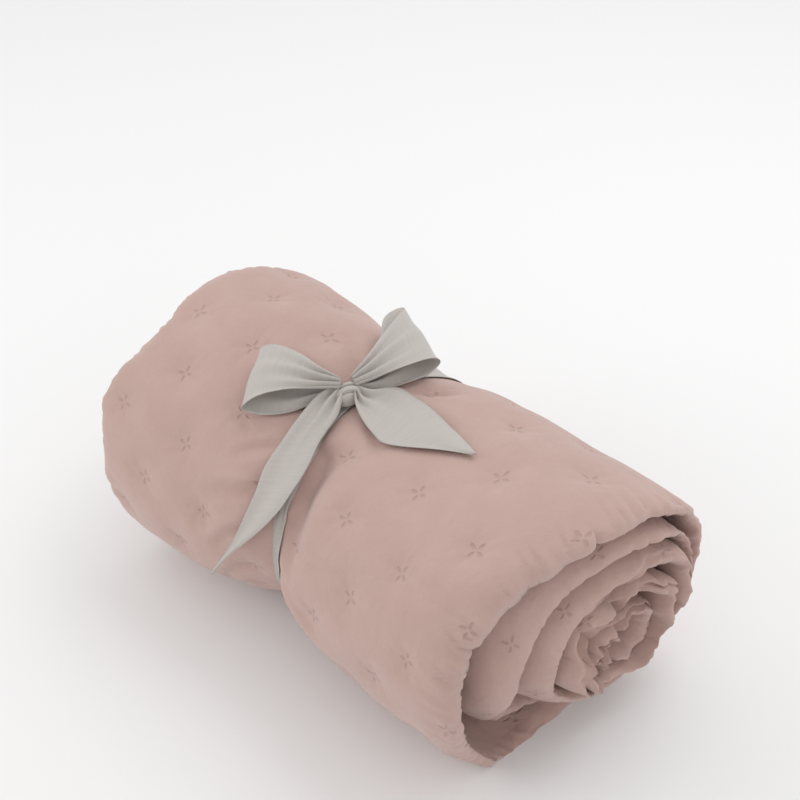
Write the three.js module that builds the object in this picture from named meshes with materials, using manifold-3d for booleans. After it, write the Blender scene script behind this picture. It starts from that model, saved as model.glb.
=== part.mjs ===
// A quilt folded in four lengthways, rolled up and tied round the middle with a ribbon bow.
// Millimetres, +Z up, the roll lies along X with its near end at +X.

import * as THREE from 'three';
import { mergeVertices } from 'three/addons/utils/BufferGeometryUtils.js';
import Module from 'manifold-3d';

const wasm = await Module();
wasm.setup();

// The quilt: 160 x 200 cm, folded in four to a strip 40 cm wide, then rolled from one short end.
const quiltWidth = 1600;
const foldsAcross = 4;
const rollLength = quiltWidth / foldsAcross;
const nearRim = 210; // distance from the waist to the near rim
const farRim = nearRim - rollLength - 2; // the far rim, on the other side
const stripThickness = 17; // four soft layers pressed by the roll
const turns = 4.3;
const startAngle = 266; // the strip's free end lies on the floor, at this angle from +Y
const twist = 6; // each half is turned this far about X by the tie, in degrees
const axisHeight = 105;
const floorReach = -98; // the strip's middle line sinks no lower than this below the axis
const pressedFlat = 3; // what would lie this near the floor is pressed flat on it
const endRound = 12;
const roundness = 2.08; // 2 is an ellipse
const layerGap = 2.4;
const coreHalf = 12; // half thickness of the innermost turn, towards the axis

// Half width and half height of the roll along its length, x from the waist.
const rollSections = [
  { x: -192, wide: 133, high: 110 },
  { x: -154, wide: 136, high: 111.5 },
  { x: -102, wide: 132, high: 109 },
  { x: -52, wide: 125, high: 104.5 },
  { x: 0, wide: 120, high: 101 },
  { x: 42, wide: 126, high: 105.5 },
  { x: 84, wide: 131.5, high: 108.5 },
  { x: 130, wide: 133, high: 108 },
  { x: 176, wide: 132, high: 106.5 },
  { x: 210, wide: 130, high: 105 },
];

// Reach of each turn from the axis. left, top, right and bottom are a quarter turn apart.
const quarterAt = { left: 0.222, top: 0.472, right: 0.722, bottom: 0.972 };
const nearTurns = [
  { turn: 0, left: -129, top: 106, right: 123, bottom: -91 },
  { turn: 1, left: -88, top: 80, right: 110, bottom: -66 },
  { turn: 2, left: -47, top: 46, right: 98, bottom: -54 },
  { turn: 3, left: -18, top: 17, right: 80, bottom: -46 },
  { turn: 4, left: 5, top: -8, right: 60, bottom: -40 },
];
const farTurns = [
  { turn: 0, left: -125, top: 102, right: 125, bottom: -95 },
  { turn: 1, left: -95, top: 76, right: 102, bottom: -64 },
  { turn: 2, left: -64, top: 49, right: 78, bottom: -44 },
  { turn: 3, left: -36, top: 24, right: 52, bottom: -24 },
  { turn: 4, left: -10, top: 0, right: 26, bottom: -6 },
];
// At the waist the turns are pressed evenly. These are shares of the half width and height.
const waistTurns = [
  { turn: 0, left: -1, top: 1, right: 1, bottom: -0.93 },
  { turn: 1, left: -0.78, top: 0.77, right: 0.8, bottom: -0.62 },
  { turn: 2, left: -0.56, top: 0.54, right: 0.6, bottom: -0.42 },
  { turn: 3, left: -0.34, top: 0.31, right: 0.4, bottom: -0.22 },
  { turn: 4, left: -0.12, top: 0.08, right: 0.2, bottom: -0.05 },
];
// The free end lies flat on the floor, and where the strip comes round again it climbs over it.
const nearStart = {
  left: [{ turn: 0, reach: -100 }, { turn: 0.1, reach: -106 }],
  bottom: [
    { turn: 0, reach: -112 },
    { turn: 0.1, reach: -122 },
    { turn: 0.3, reach: -112 },
    { turn: 0.6, reach: -100 },
    { turn: 0.8, reach: -101 },
    { turn: 0.9, reach: -98 },
  ],
  climb: [{ turn: 1.01, reach: -86 }, { turn: 1.1, reach: -83 }],
};
const farStart = {
  left: [],
  bottom: [
    { turn: 0, reach: -100 },
    { turn: 0.6, reach: -100 },
    { turn: 0.8, reach: -104 },
    { turn: 0.9, reach: -105 },
  ],
  climb: [{ turn: 1.01, reach: -87 }, { turn: 1.1, reach: -83 }],
};
const waistStart = {
  left: [],
  bottom: [
    { turn: 0, reach: -1 },
    { turn: 0.6, reach: -0.985 },
    { turn: 0.8, reach: -1.02 },
    { turn: 0.9, reach: -1.03 },
  ],
  climb: [{ turn: 1.01, reach: -0.86 }, { turn: 1.1, reach: -0.82 }],
};

// How far the near rim stands out past its mean place, turn by turn.
const rimOut = [
  { turn: 0, out: -18 }, { turn: 0.06, out: -22 }, { turn: 0.1, out: -28 },
  { turn: 0.13, out: -24 }, { turn: 0.17, out: -18 }, { turn: 0.21, out: -13 },
  { turn: 0.25, out: -15 }, { turn: 0.3, out: -18 }, { turn: 0.36, out: -20 },
  { turn: 0.42, out: -12 }, { turn: 0.5, out: 0 }, { turn: 0.58, out: 5 },
  { turn: 0.65, out: 6 }, { turn: 0.72, out: 10 }, { turn: 0.8, out: 11 },
  { turn: 0.87, out: 3 }, { turn: 0.95, out: -8 }, { turn: 1, out: -11 },
  { turn: 1.1, out: -10 }, { turn: 1.2, out: -4 }, { turn: 1.27, out: -8 },
  { turn: 1.4, out: -9 }, { turn: 1.48, out: -2 }, { turn: 1.55, out: 7 },
  { turn: 1.62, out: 2 }, { turn: 1.75, out: 4 }, { turn: 1.95, out: -6 },
  { turn: 2.1, out: -12 }, { turn: 2.2, out: -6 }, { turn: 2.37, out: -7 },
  { turn: 2.5, out: -2 }, { turn: 2.6, out: 0 }, { turn: 2.75, out: 2 },
  { turn: 3, out: -4 }, { turn: 3.5, out: -6 }, { turn: 4.3, out: -10 },
];

// The near rim is a soft fold. Its crest leans to the inner face (-1) or the outer one (1).
const rimLean = [
  { angle: 0, lean: 0.5 }, { angle: 35, lean: 0.45 }, { angle: 60, lean: 0 },
  { angle: 80, lean: -0.6 }, { angle: 100, lean: -0.9 }, { angle: 205, lean: -0.9 },
  { angle: 232, lean: -0.2 }, { angle: 250, lean: 0.5 }, { angle: 300, lean: 0.6 },
  { angle: 360, lean: 0.5 },
];
const rimLength = { near: 30, far: 22 };

// Where the turns stand free of each other, half a turn is no thicker than this.
const mostInward = [
  { turn: 0, half: 8.5 }, { turn: 0.15, half: 8.5 }, { turn: 0.27, half: 16 },
  { turn: 0.4, half: 20 }, { turn: 0.6, half: 16 }, { turn: 0.9, half: 8.5 },
  { turn: 1.1, half: 12 }, { turn: 1.3, half: 20 }, { turn: 4.5, half: 20 },
];
const mostOutward = [
  { turn: 0, half: 20 }, { turn: 1, half: 20 }, { turn: 1.05, half: 12 },
  { turn: 1.2, half: 12 }, { turn: 1.32, half: 20 }, { turn: 4.5, half: 20 },
];
// The corner of the outer turn sags to the floor at the near end, about this turn.
const cornerSag = { turn: 0.085, spread: 0.05, drop: 11 };

// The crease under the tie: where it runs, and how deep it is, by angle from +Y.
const crease = [
  { angle: 0, at: -12, depth: 5 },
  { angle: 55, at: -17, depth: 5 },
  { angle: 95, at: -23, depth: 7 },
  { angle: 127, at: -13, depth: 8 },
  { angle: 153, at: -7, depth: 10 },
  { angle: 176, at: -3, depth: 13 },
  { angle: 205, at: -8, depth: 15 },
  { angle: 235, at: -8, depth: 13 },
  { angle: 270, at: -8, depth: 9 },
  { angle: 315, at: -10, depth: 7 },
  { angle: 360, at: -12, depth: 5 },
];
const creaseColumns = [-28, -15, -7, 0, 7, 14];

// Tufts: rows go round the roll, and every second row is set half a step over.
const tuftRow = 43.3;
const firstTuftRow = 35;
const tuftColumns = [
  { step: -3, x: -232 }, { step: -2, x: -169.2 }, { step: -1, x: -106.4 },
  { step: -0.5, x: -75 }, { step: 0.5, x: 17 }, { step: 1, x: 54.4 },
  { step: 2, x: 129.2 }, { step: 3, x: 204 },
];
const tuftDepth = 5;
const tuftSpread = 15;

const ribbonThickness = 1.5;
const bandLift = 0.75;
const bridge = 17; // under the roll the band runs this far past the strip's free end

// Half width of the band round the waist, by angle.
const bandWidth = [
  { angle: 0, half: 13 }, { angle: 55, half: 14 }, { angle: 95, half: 13 },
  { angle: 127, half: 11 }, { angle: 153, half: 8 }, { angle: 176, half: 6.5 },
  { angle: 205, half: 6.5 }, { angle: 235, half: 8 }, { angle: 270, half: 11 },
  { angle: 315, half: 13 }, { angle: 360, half: 13 },
];

// The tails and loops lie on the roll. Each row gives the two edges, as x and angle, and a lift.
const leftTail = [
  { x1: -28, a1: 97, x2: -22, a2: 98, lift: 7 },
  { x1: -33, a1: 105, x2: -15, a2: 103, lift: 6 },
  { x1: -33, a1: 114, x2: -10, a2: 108, lift: 4 },
  { x1: -31, a1: 127, x2: -6, a2: 119, lift: 3 },
  { x1: -31, a1: 138, x2: 0, a2: 130, lift: 3 },
  { x1: -28, a1: 150, x2: 0, a2: 141, lift: 3 },
  { x1: -31, a1: 165, x2: -4, a2: 152, lift: 3 },
  { x1: -42, a1: 178, x2: -21, a2: 168, lift: 4 },
  { x1: -57, a1: 187.5, x2: -54, a2: 186, lift: 8 },
];
const rightTail = [
  { x1: -14, a1: 97, x2: -19, a2: 94, lift: 7 },
  { x1: -3, a1: 101, x2: -8, a2: 91, lift: 6 },
  { x1: 11, a1: 104, x2: 1, a2: 83, lift: 4 },
  { x1: 26, a1: 106, x2: 20, a2: 83.5, lift: 3 },
  { x1: 38, a1: 107, x2: 38, a2: 85, lift: 3 },
  { x1: 53, a1: 104.5, x2: 70, a2: 89, lift: 3 },
  { x1: 80, a1: 98, x2: 94, a2: 91, lift: 3.5 },
  { x1: 102, a1: 92.7, x2: 104, a2: 92, lift: 4 },
];
const leftLoop = [
  { x1: -27, a1: 97, x2: -24, a2: 99, lift: 5 },
  { x1: -42, a1: 98, x2: -34, a2: 108, lift: 3 },
  { x1: -58, a1: 100, x2: -43, a2: 116, lift: 3 },
  { x1: -76, a1: 102, x2: -56, a2: 122, lift: 4 },
  { x1: -87, a1: 104, x2: -67, a2: 125, lift: 8 },
  { x1: -88, a1: 104.5, x2: -68, a2: 125, lift: 14 },
  { x1: -78, a1: 102, x2: -60, a2: 120, lift: 20 },
  { x1: -60, a1: 100, x2: -48, a2: 114, lift: 21 },
  { x1: -44, a1: 99, x2: -35, a2: 107, lift: 17 },
  { x1: -28, a1: 97, x2: -24, a2: 99, lift: 11 },
];
const rightLoop = [
  { x1: -25, a1: 94, x2: -18, a2: 95, lift: 5, edge: 0 },
  { x1: -26, a1: 86, x2: -6, a2: 89, lift: 5, edge: 4 },
  { x1: -40, a1: 74, x2: 0, a2: 79, lift: 5, edge: 10 },
  { x1: -52, a1: 62, x2: 2, a2: 69, lift: 7, edge: 15 },
  { x1: -52, a1: 55, x2: 2, a2: 64, lift: 12, edge: 16 },
  { x1: -48, a1: 54, x2: 3, a2: 63.5, lift: 18, edge: 15 },
  { x1: -42, a1: 62, x2: 5, a2: 70, lift: 23, edge: 12 },
  { x1: -35, a1: 74, x2: 2, a2: 80, lift: 22, edge: 9 },
  { x1: -27, a1: 86, x2: -7, a2: 89, lift: 17, edge: 4 },
  { x1: -25, a1: 94, x2: -18, a2: 95, lift: 11, edge: 0 },
];
const knot = { x: -23, angle: 96, halfLong: 12, halfRound: 6.5, lift: 14 };

const radians = Math.PI / 180;

// A smooth curve through the rows, by the columns named key and name.
function curve(rows, key, name, at) {
  const last = rows.length - 1;
  const x = Math.min(Math.max(at, rows[0][key]), rows[last][key]);
  let i = 0;
  while (i < last - 1 && rows[i + 1][key] <= x) i += 1;
  const span = (k) => rows[k + 1][key] - rows[k][key];
  const rise = (k) => (rows[k + 1][name] - rows[k][name]) / span(k);
  const slope = (k) => {
    if (k === 0) return rise(0);
    if (k === last) return rise(last - 1);
    return (rise(k - 1) * span(k) + rise(k) * span(k - 1)) / (span(k - 1) + span(k));
  };
  const t = (x - rows[i][key]) / span(i);
  const value = (2 * t ** 3 - 3 * t ** 2 + 1) * rows[i][name]
    + (t ** 3 - 2 * t ** 2 + t) * span(i) * slope(i)
    + (3 * t ** 2 - 2 * t ** 3) * rows[i + 1][name]
    + (t ** 3 - t ** 2) * span(i) * slope(i + 1);
  return value;
}

const blend = (from, to, x) => {
  const t = Math.min(Math.max((x - from) / (to - from), 0), 1);
  return t * t * (3 - 2 * t);
};

// One curve of reach against turn for each side, from a start and a row for each turn.
function sides(turnRows, start) {
  const rows = {};
  for (const side of ['left', 'top', 'right', 'bottom']) {
    const later = turnRows.map((row) => ({ turn: row.turn + quarterAt[side], reach: row[side] }));
    const climb = side === 'bottom' ? start.climb : [];
    rows[side] = (start[side] ?? []).concat(later, climb).sort((a, b) => a.turn - b.turn);
  }
  return rows;
}
const near = sides(nearTurns, nearStart);
const far = sides(farTurns, farStart);
const waist = sides(waistTurns, waistStart);

const lengthAt = (turn) => 752 * turn - 71 * turn * turn; // length of strip rolled so far
const angleAt = (x, turn) => startAngle - 360 * turn - twist * Math.tanh(x / 40);
const turnAt = (x, angle) => (startAngle - twist * Math.tanh(x / 40) - angle) / 360;
const wrap = (angle) => ((angle % 360) + 360) % 360;

// The middle line of the strip at one place along the roll: y and z from the axis.
function middle(x, turn, creased = true) {
  const angle = angleAt(x, turn);
  const wide = curve(rollSections, 'x', 'wide', x) - stripThickness / 2;
  const high = curve(rollSections, 'x', 'high', x) - stripThickness / 2;
  const nearShare = blend(70, 180, x);
  const farShare = blend(-60, -160, x);
  const reach = {};
  for (const side of ['left', 'top', 'right', 'bottom']) {
    const full = side === 'left' || side === 'right' ? wide : high;
    const scale = side === 'left' || side === 'right' ? wide / 124 : high / 99;
    reach[side] = (1 - nearShare - farShare) * full * curve(waist[side], 'turn', 'reach', turn)
      + scale * nearShare * curve(near[side], 'turn', 'reach', turn)
      + scale * farShare * curve(far[side], 'turn', 'reach', turn);
  }
  const c = Math.cos(angle * radians);
  const s = Math.sin(angle * radians);
  const across = Math.sign(c) * Math.abs(c) ** (2 / roundness);
  const up = Math.sign(s) * Math.abs(s) ** (2 / roundness);
  let y = (reach.left + reach.right) / 2 + (reach.right - reach.left) / 2 * across;
  let z = (reach.top + reach.bottom) / 2 + (reach.top - reach.bottom) / 2 * up;
  z = Math.max(z, floorReach);
  if (creased) {
    const off = x - curve(crease, 'angle', 'at', wrap(angle));
    const reachOut = off > 0 ? 11 : 17;
    const depth = curve(crease, 'angle', 'depth', wrap(angle));
    const pull = 1 - depth / 115 * Math.exp(-((Math.abs(off) / reachOut) ** 1.4));
    y *= pull;
    z *= pull;
  }
  return [y, z];
}

// Unit normal of the middle line, away from the axis.
function outward(x, turn, creased = true) {
  const [y1, z1] = middle(x, turn - 0.002, creased);
  const [y2, z2] = middle(x, turn + 0.002, creased);
  const long = Math.hypot(y2 - y1, z2 - z1);
  const ny = (z1 - z2) / long;
  const nz = (y2 - y1) / long;
  return [ny, nz];
}

// Moves a point into place: the ends are uneven, and the far half leans a little.
function place(x, y, z, turn) {
  const nearPart = Math.min(Math.max(x / nearRim, 0), 1) ** 2;
  const farPart = Math.min(Math.max(x / farRim, 0), 1) ** 2;
  const leaning = x > -192 && x < -20 ? Math.sin(Math.PI * (x + 192) / 172) ** 2 : 0;
  const lean = -0.09 * (Math.min(lengthAt(turn), 520) - 250) * leaning;
  const out = nearPart * curve(rimOut, 'turn', 'out', turn) - farPart * (0.04 * y + 0.05 * z);
  const sagShare = Math.exp(-(((turn - cornerSag.turn) / cornerSag.spread) ** 2));
  const height = z + axisHeight - cornerSag.drop * sagShare * blend(140, 200, x);
  return new THREE.Vector3(x + out + lean, y, height < pressedFlat ? 0 : height);
}

// Columns along the roll: the rims, the tuft columns with three between, and the crease.
const columnCount = { far: 10, near: 13 };
function columnsAt(turn) {
  const columns = [farRim, farRim + 2, farRim + 7, farRim + 14];
  for (let i = 0; i < columnCount.far; i += 1) {
    const x = curve(tuftColumns, 'step', 'x', i * 0.25 - 2.5);
    if (x > farRim + 22 && x < -62) columns.push(x);
  }
  columns.push(-58);
  const at = curve(crease, 'angle', 'at', wrap(angleAt(-10, turn)));
  creaseColumns.forEach((off) => columns.push(at + off));
  for (let i = 0; i < columnCount.near; i += 1) {
    const x = curve(tuftColumns, 'step', 'x', 0.5 + i * 0.25);
    if (x < nearRim - 36) columns.push(x);
  }
  columns.push(nearRim - 29, nearRim - 18, nearRim - 9, nearRim - 3, nearRim);
  return columns;
}

// How far the surface sinks at a tuft near this place.
function dimple(x, length) {
  const row = (length - firstTuftRow) / tuftRow;
  let sink = 0;
  for (const r of [Math.floor(row), Math.floor(row) + 1]) {
    for (let k = -3; k <= 3; k += 1) {
      const step = r % 2 === 0 ? k + 0.5 : k;
      const tuftX = curve(tuftColumns, 'step', 'x', step);
      const away = Math.hypot(x - tuftX, (row - r) * tuftRow);
      if (r >= 0 && step !== 0) sink = Math.max(sink, tuftDepth * Math.exp(-((away / tuftSpread) ** 2)));
    }
  }
  return sink;
}

// Stations round the roll: two for each tuft row, closer where the turns are tight.
const stations = [0, 0.006, 0.018];
for (let length = firstTuftRow; length < lengthAt(turns) - 8; ) {
  const turn = (752 - Math.sqrt(752 ** 2 - 4 * 71 * length)) / 142;
  stations.push(turn);
  length += Math.min(tuftRow / 2, (752 - 142 * turn) / 18);
}
stations.push(turns - 0.02, turns - 0.006, turns);

const outer = [];
const inner = [];
const columnX = [];
for (const turn of stations) {
  const columns = columnsAt(Math.min(turn, 1.2));
  const outerRow = [];
  const innerRow = [];
  for (const x of columns) {
    const [y, z] = middle(x, turn);
    const [ny, nz] = outward(x, turn);
    const gapTo = (other) => {
      const [yo, zo] = middle(x, other);
      return Math.abs((yo - y) * ny + (zo - z) * nz) / 2 - layerGap / 2;
    };
    const roomIn = turn > turns - 1 ? coreHalf : gapTo(turn + 1);
    const roomOut = turn < 1 ? stripThickness / 2 : gapTo(turn - 1);
    const pressed = 1 - blend(95, 150, Math.abs(x - 5));
    let halfIn = Math.min(roomIn, curve(mostInward, 'turn', 'half', turn));
    let halfOut = Math.min(roomOut, curve(mostOutward, 'turn', 'half', turn));
    halfIn = Math.max(halfIn + pressed * (roomIn - halfIn), 1);
    halfOut = Math.max(halfOut + pressed * (roomOut - halfOut), 1);
    const toRim = Math.min(x - farRim, nearRim - x);
    const toEnd = Math.min(lengthAt(turn), lengthAt(turns) - lengthAt(turn));
    const endPart = Math.sqrt(1 - (1 - Math.min(toEnd / endRound, 1)) ** 2);
    const leaning = curve(rimLean, 'angle', 'lean', wrap(angleAt(x, turn)));
    const lean = x > 0 ? Math.min(Math.max(leaning, -0.9), 0.9) : 0;
    const long = x > 0 ? rimLength.near : rimLength.far;
    const fall = (share) => {
      const t = Math.min(toRim / (4 + long * share), 1);
      return Math.sqrt(1 - (1 - t) ** 2);
    };
    const crest = lean > 0 ? lean * halfOut : lean * halfIn;
    const flat = Math.min(toRim / 20, toEnd / 20, 1);
    const sink = dimple(x, lengthAt(turn)) * flat;
    const out = (crest + (halfOut - crest) * fall((1 - lean) / 2) - sink) * endPart;
    const into = (-crest + (halfIn + crest) * fall((1 + lean) / 2) - 0.3 * sink) * endPart;
    outerRow.push(place(x, y + ny * out, z + nz * out, turn));
    innerRow.push(place(x, y - ny * into, z - nz * into, turn));
  }
  outer.push(outerRow);
  inner.push(innerRow);
  columnX.push(columns);
}

// A closed mesh from two grids of points: the outer face, the inner face and the four sides.
function closedSheet(outerGrid, innerGrid, ring = false) {
  const rows = outerGrid.length;
  const columns = outerGrid[0].length;
  const positions = [];
  const index = [];
  outerGrid.flat().forEach((p) => positions.push(p.x, p.y, p.z));
  innerGrid.flat().forEach((p) => positions.push(p.x, p.y, p.z));
  const o = (j, i) => (j % rows) * columns + i;
  const n = (j, i) => rows * columns + (j % rows) * columns + i;
  const quad = (a, b, c, d) => index.push(a, b, c, a, c, d);
  const steps = ring ? rows : rows - 1;
  for (let j = 0; j < steps; j += 1) {
    for (let i = 0; i < columns - 1; i += 1) {
      quad(o(j, i), o(j, i + 1), o(j + 1, i + 1), o(j + 1, i));
      quad(n(j, i), n(j + 1, i), n(j + 1, i + 1), n(j, i + 1));
    }
    quad(o(j, 0), o(j + 1, 0), n(j + 1, 0), n(j, 0));
    quad(o(j, columns - 1), n(j, columns - 1), n(j + 1, columns - 1), o(j + 1, columns - 1));
  }
  if (!ring) {
    const end = rows - 1;
    for (let i = 0; i < columns - 1; i += 1) {
      quad(o(0, i), n(0, i), n(0, i + 1), o(0, i + 1));
      quad(o(end, i), o(end, i + 1), n(end, i + 1), n(end, i));
    }
  }
  const geometry = new THREE.BufferGeometry();
  geometry.setAttribute('position', new THREE.Float32BufferAttribute(positions, 3));
  geometry.setIndex(index);
  return geometry;
}

// A solid for joining. Faces that point in are turned round first.
function solidOf(geometry) {
  geometry.deleteAttribute('normal');
  geometry.deleteAttribute('uv');
  const merged = mergeVertices(geometry, 1e-4);
  const points = merged.attributes.position.array;
  const all = Array.from(merged.index.array);
  const faces = [];
  let volume = 0;
  const a = new THREE.Vector3();
  const b = new THREE.Vector3();
  const c = new THREE.Vector3();
  for (let i = 0; i < all.length; i += 3) {
    const [p, q, r] = all.slice(i, i + 3);
    if (p !== q && q !== r && r !== p) {
      faces.push(p, q, r);
      a.fromArray(points, 3 * p);
      b.fromArray(points, 3 * q);
      c.fromArray(points, 3 * r);
      volume += a.dot(b.cross(c)) / 6;
    }
  }
  if (volume < 0) {
    for (let i = 0; i < faces.length; i += 3) [faces[i + 1], faces[i + 2]] = [faces[i + 2], faces[i + 1]];
  }
  const mesh = new wasm.Mesh({
    numProp: 3,
    vertProperties: Float32Array.from(points),
    triVerts: Uint32Array.from(faces),
  });
  return new wasm.Manifold(mesh);
}

function geometryOf(solid, shift) {
  const mesh = solid.getMesh();
  const geometry = new THREE.BufferGeometry();
  const points = Float32Array.from(mesh.vertProperties);
  geometry.setAttribute('position', new THREE.BufferAttribute(points, 3));
  geometry.setIndex(Array.from(mesh.triVerts));
  geometry.translate(shift.x, shift.y, shift.z);
  geometry.computeVertexNormals();
  return geometry;
}

// The core: the pressed middle of the roll, inside the outer turn, closed by two end faces.
function coreSolid() {
  const from = 0.05;
  const rings = [];
  const picked = stations.filter((turn) => turn > from && turn < 1.035);
  for (const x of [-168, -120, -75, -45, -25, -8, 10, 30, 75, 120, 150, 176]) {
    const ring = picked.map((turn) => {
      const [y, z] = middle(x, turn);
      const [ny, nz] = outward(x, turn);
      const inside = x > -70 && x < 40 ? 1 : 0;
      return place(x, y - ny * inside, z - nz * inside, turn);
    });
    rings.push(ring);
  }
  const count = picked.length;
  const positions = [];
  const index = [];
  rings.flat().forEach((p) => positions.push(p.x, p.y, p.z));
  for (let k = 0; k < rings.length - 1; k += 1) {
    for (let i = 0; i < count; i += 1) {
      const i2 = (i + 1) % count;
      const [a, b] = [k * count + i, k * count + i2];
      const [c, d] = [(k + 1) * count + i2, (k + 1) * count + i];
      index.push(a, b, c, a, c, d);
    }
  }
  for (const k of [0, rings.length - 1]) {
    const centre = rings[k].reduce((sum, p) => sum.add(p), new THREE.Vector3()).divideScalar(count);
    const c = positions.length / 3;
    positions.push(centre.x, centre.y, centre.z);
    for (let i = 0; i < count; i += 1) {
      const i2 = (i + 1) % count;
      if (k === 0) index.push(c, k * count + i2, k * count + i);
      else index.push(c, k * count + i, k * count + i2);
    }
  }
  const geometry = new THREE.BufferGeometry();
  geometry.setAttribute('position', new THREE.Float32BufferAttribute(positions, 3));
  geometry.setIndex(index);
  return solidOf(geometry);
}

const quiltSolid = solidOf(closedSheet(outer, inner)).add(coreSolid());

// A point over the quilt's real outer face, creases and tufts included.
function onQuilt(x, turn, lift) {
  let j = 1;
  while (j < stations.length - 2 && stations[j + 1] < turn) j += 1;
  const v = (turn - stations[j]) / (stations[j + 1] - stations[j]);
  const at = (row) => {
    const columns = columnX[row];
    let i = 0;
    while (i < columns.length - 2 && columns[i + 1] < x) i += 1;
    const u = (x - columns[i]) / (columns[i + 1] - columns[i]);
    return outer[row][i].clone().lerp(outer[row][i + 1], u);
  };
  const [ny, nz] = outward(x, turn);
  return at(j).lerp(at(j + 1), v).add(new THREE.Vector3(0, ny * lift, nz * lift));
}

// A point over the roll as it would be without creases and tufts.
function onRoll(x, angle, lift) {
  const turn = turnAt(x, angle);
  const [y, z] = middle(x, turn, false);
  const [ny, nz] = outward(x, turn, false);
  const out = stripThickness / 2 + lift;
  return place(x, y + ny * out, z + nz * out, turn);
}

// Unit normals of a grid of points, for giving a sheet its thickness.
function gridNormals(grid, ring) {
  const rows = grid.length;
  return grid.map((row, j) => row.map((p, i) => {
    const before = ring ? grid[(j + rows - 1) % rows] : grid[Math.max(j - 1, 0)];
    const after = ring ? grid[(j + 1) % rows] : grid[Math.min(j + 1, rows - 1)];
    const along = after[i].clone().sub(before[i]);
    const across = row[Math.min(i + 1, row.length - 1)].clone().sub(row[Math.max(i - 1, 0)]);
    return across.cross(along).normalize();
  }));
}

// A ribbon sheet from its middle grid, thick to both sides.
function ribbonSheet(grid, thickness = ribbonThickness) {
  const normals = gridNormals(grid, false);
  const to = (side) => grid.map((row, j) => row.map((p, i) => (
    p.clone().addScaledVector(normals[j][i], side * thickness / 2))));
  return solidOf(closedSheet(to(1), to(-1)));
}

// A tail or a loop: rows of edges, made smooth along its length.
function ribbonStrip(rows, stepsPerRow, columns) {
  const numbered = rows.map((row, k) => ({ edge: 0, ...row, k }));
  const grid = [];
  for (let j = 0; j <= (rows.length - 1) * stepsPerRow; j += 1) {
    const k = j / stepsPerRow;
    const value = (name) => curve(numbered, 'k', name, k);
    const row = [];
    for (let i = 0; i <= columns; i += 1) {
      const v = i / columns;
      const x = value('x1') + (value('x2') - value('x1')) * v;
      const angle = value('a1') + (value('a2') - value('a1')) * v;
      row.push(onRoll(x, angle, value('lift') + value('edge') * (1 - v)));
    }
    grid.push(row);
  }
  return ribbonSheet(grid);
}

// The band round the waist. Under the roll it bridges the step at the strip's free end.
function bandSolid() {
  const picked = stations.filter((turn) => turn > 0.012 && turn < 0.95);
  const across = [-1, -0.5, 0, 0.5, 1];
  const face = (lift) => {
    const rows = picked.map((turn) => {
      const angle = wrap(angleAt(-10, turn));
      const at = curve(crease, 'angle', 'at', angle);
      const half = curve(bandWidth, 'angle', 'half', angle);
      const slack = 1.6 * blend(0.8, 0.92, turn) + 0.5 * (1 - blend(0.02, 0.1, turn));
      return across.map((v) => onQuilt(at + half * v, turn, lift + slack));
    });
    const pastTheEnd = new THREE.Vector3(0, bridge, 0);
    rows.unshift(rows[0].map((p) => p.clone().add(pastTheEnd)));
    return rows;
  };
  return solidOf(closedSheet(face(bandLift + ribbonThickness), face(bandLift), true));
}

// The knot: a small hard wrap over the band, with the loops and tails coming out of it.
function knotSolid() {
  const steps = 6;
  const top = [];
  const base = [];
  for (let j = 0; j <= steps; j += 1) {
    const topRow = [];
    const baseRow = [];
    for (let i = 0; i <= steps; i += 1) {
      const u = 2 * i / steps - 1;
      const v = 2 * j / steps - 1;
      const [du, dv] = [u * Math.sqrt(1 - v * v / 2), v * Math.sqrt(1 - u * u / 2)];
      const x = knot.x + knot.halfLong * du;
      const angle = knot.angle + knot.halfRound * dv;
      const dome = Math.sqrt(Math.max(1 - du * du - dv * dv, 0));
      baseRow.push(onQuilt(x, turnAt(x, angle), bandLift + 0.6));
      topRow.push(onRoll(x, angle, 3 + (knot.lift - 3) * dome));
    }
    top.push(topRow);
    base.push(baseRow);
  }
  return solidOf(closedSheet(top, base));
}

let ribbonSolid = bandSolid().add(knotSolid());
for (const [rows, steps, columns] of [[leftTail, 2, 4], [rightTail, 2, 4], [leftLoop, 2, 4], [rightLoop, 2, 4]]) {
  ribbonSolid = ribbonSolid.add(ribbonStrip(rows, steps, columns));
}

// The origin is the middle of the part's underside.
const box = new THREE.Box3();
for (const solid of [quiltSolid, ribbonSolid]) {
  const points = Array.from(solid.getMesh().vertProperties);
  box.union(new THREE.Box3().setFromArray(points));
}
const shift = new THREE.Vector3(-(box.min.x + box.max.x) / 2, -(box.min.y + box.max.y) / 2, -box.min.z);

const percale = new THREE.MeshStandardMaterial({ color: 0xc5aba4, roughness: 0.85, metalness: 0 });
const taffeta = new THREE.MeshStandardMaterial({ color: 0xc0bab5, roughness: 0.5, metalness: 0 });

const quilt = new THREE.Mesh(geometryOf(quiltSolid, shift), percale);
quilt.name = 'quilt';
const ribbon = new THREE.Mesh(geometryOf(ribbonSolid, shift), taffeta);
ribbon.name = 'ribbon';

const rolledQuilt = new THREE.Group();
rolledQuilt.add(quilt, ribbon);

export default rolledQuilt;
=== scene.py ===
# %% [markdown]
# A quilt folded in four, rolled up and tied with a ribbon bow. The roll is soft cloth over
# a thin filling, so nearly all of its look is in shallow relief and in how light rolls over
# it. A cloth simulation of a filled quilt wound five times round itself takes long and ends
# up somewhere else than the solid model. So the cloth is swept along the model's own spiral
# and shaped by formulas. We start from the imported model, which fixes the size and the place
# of both pieces.

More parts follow.
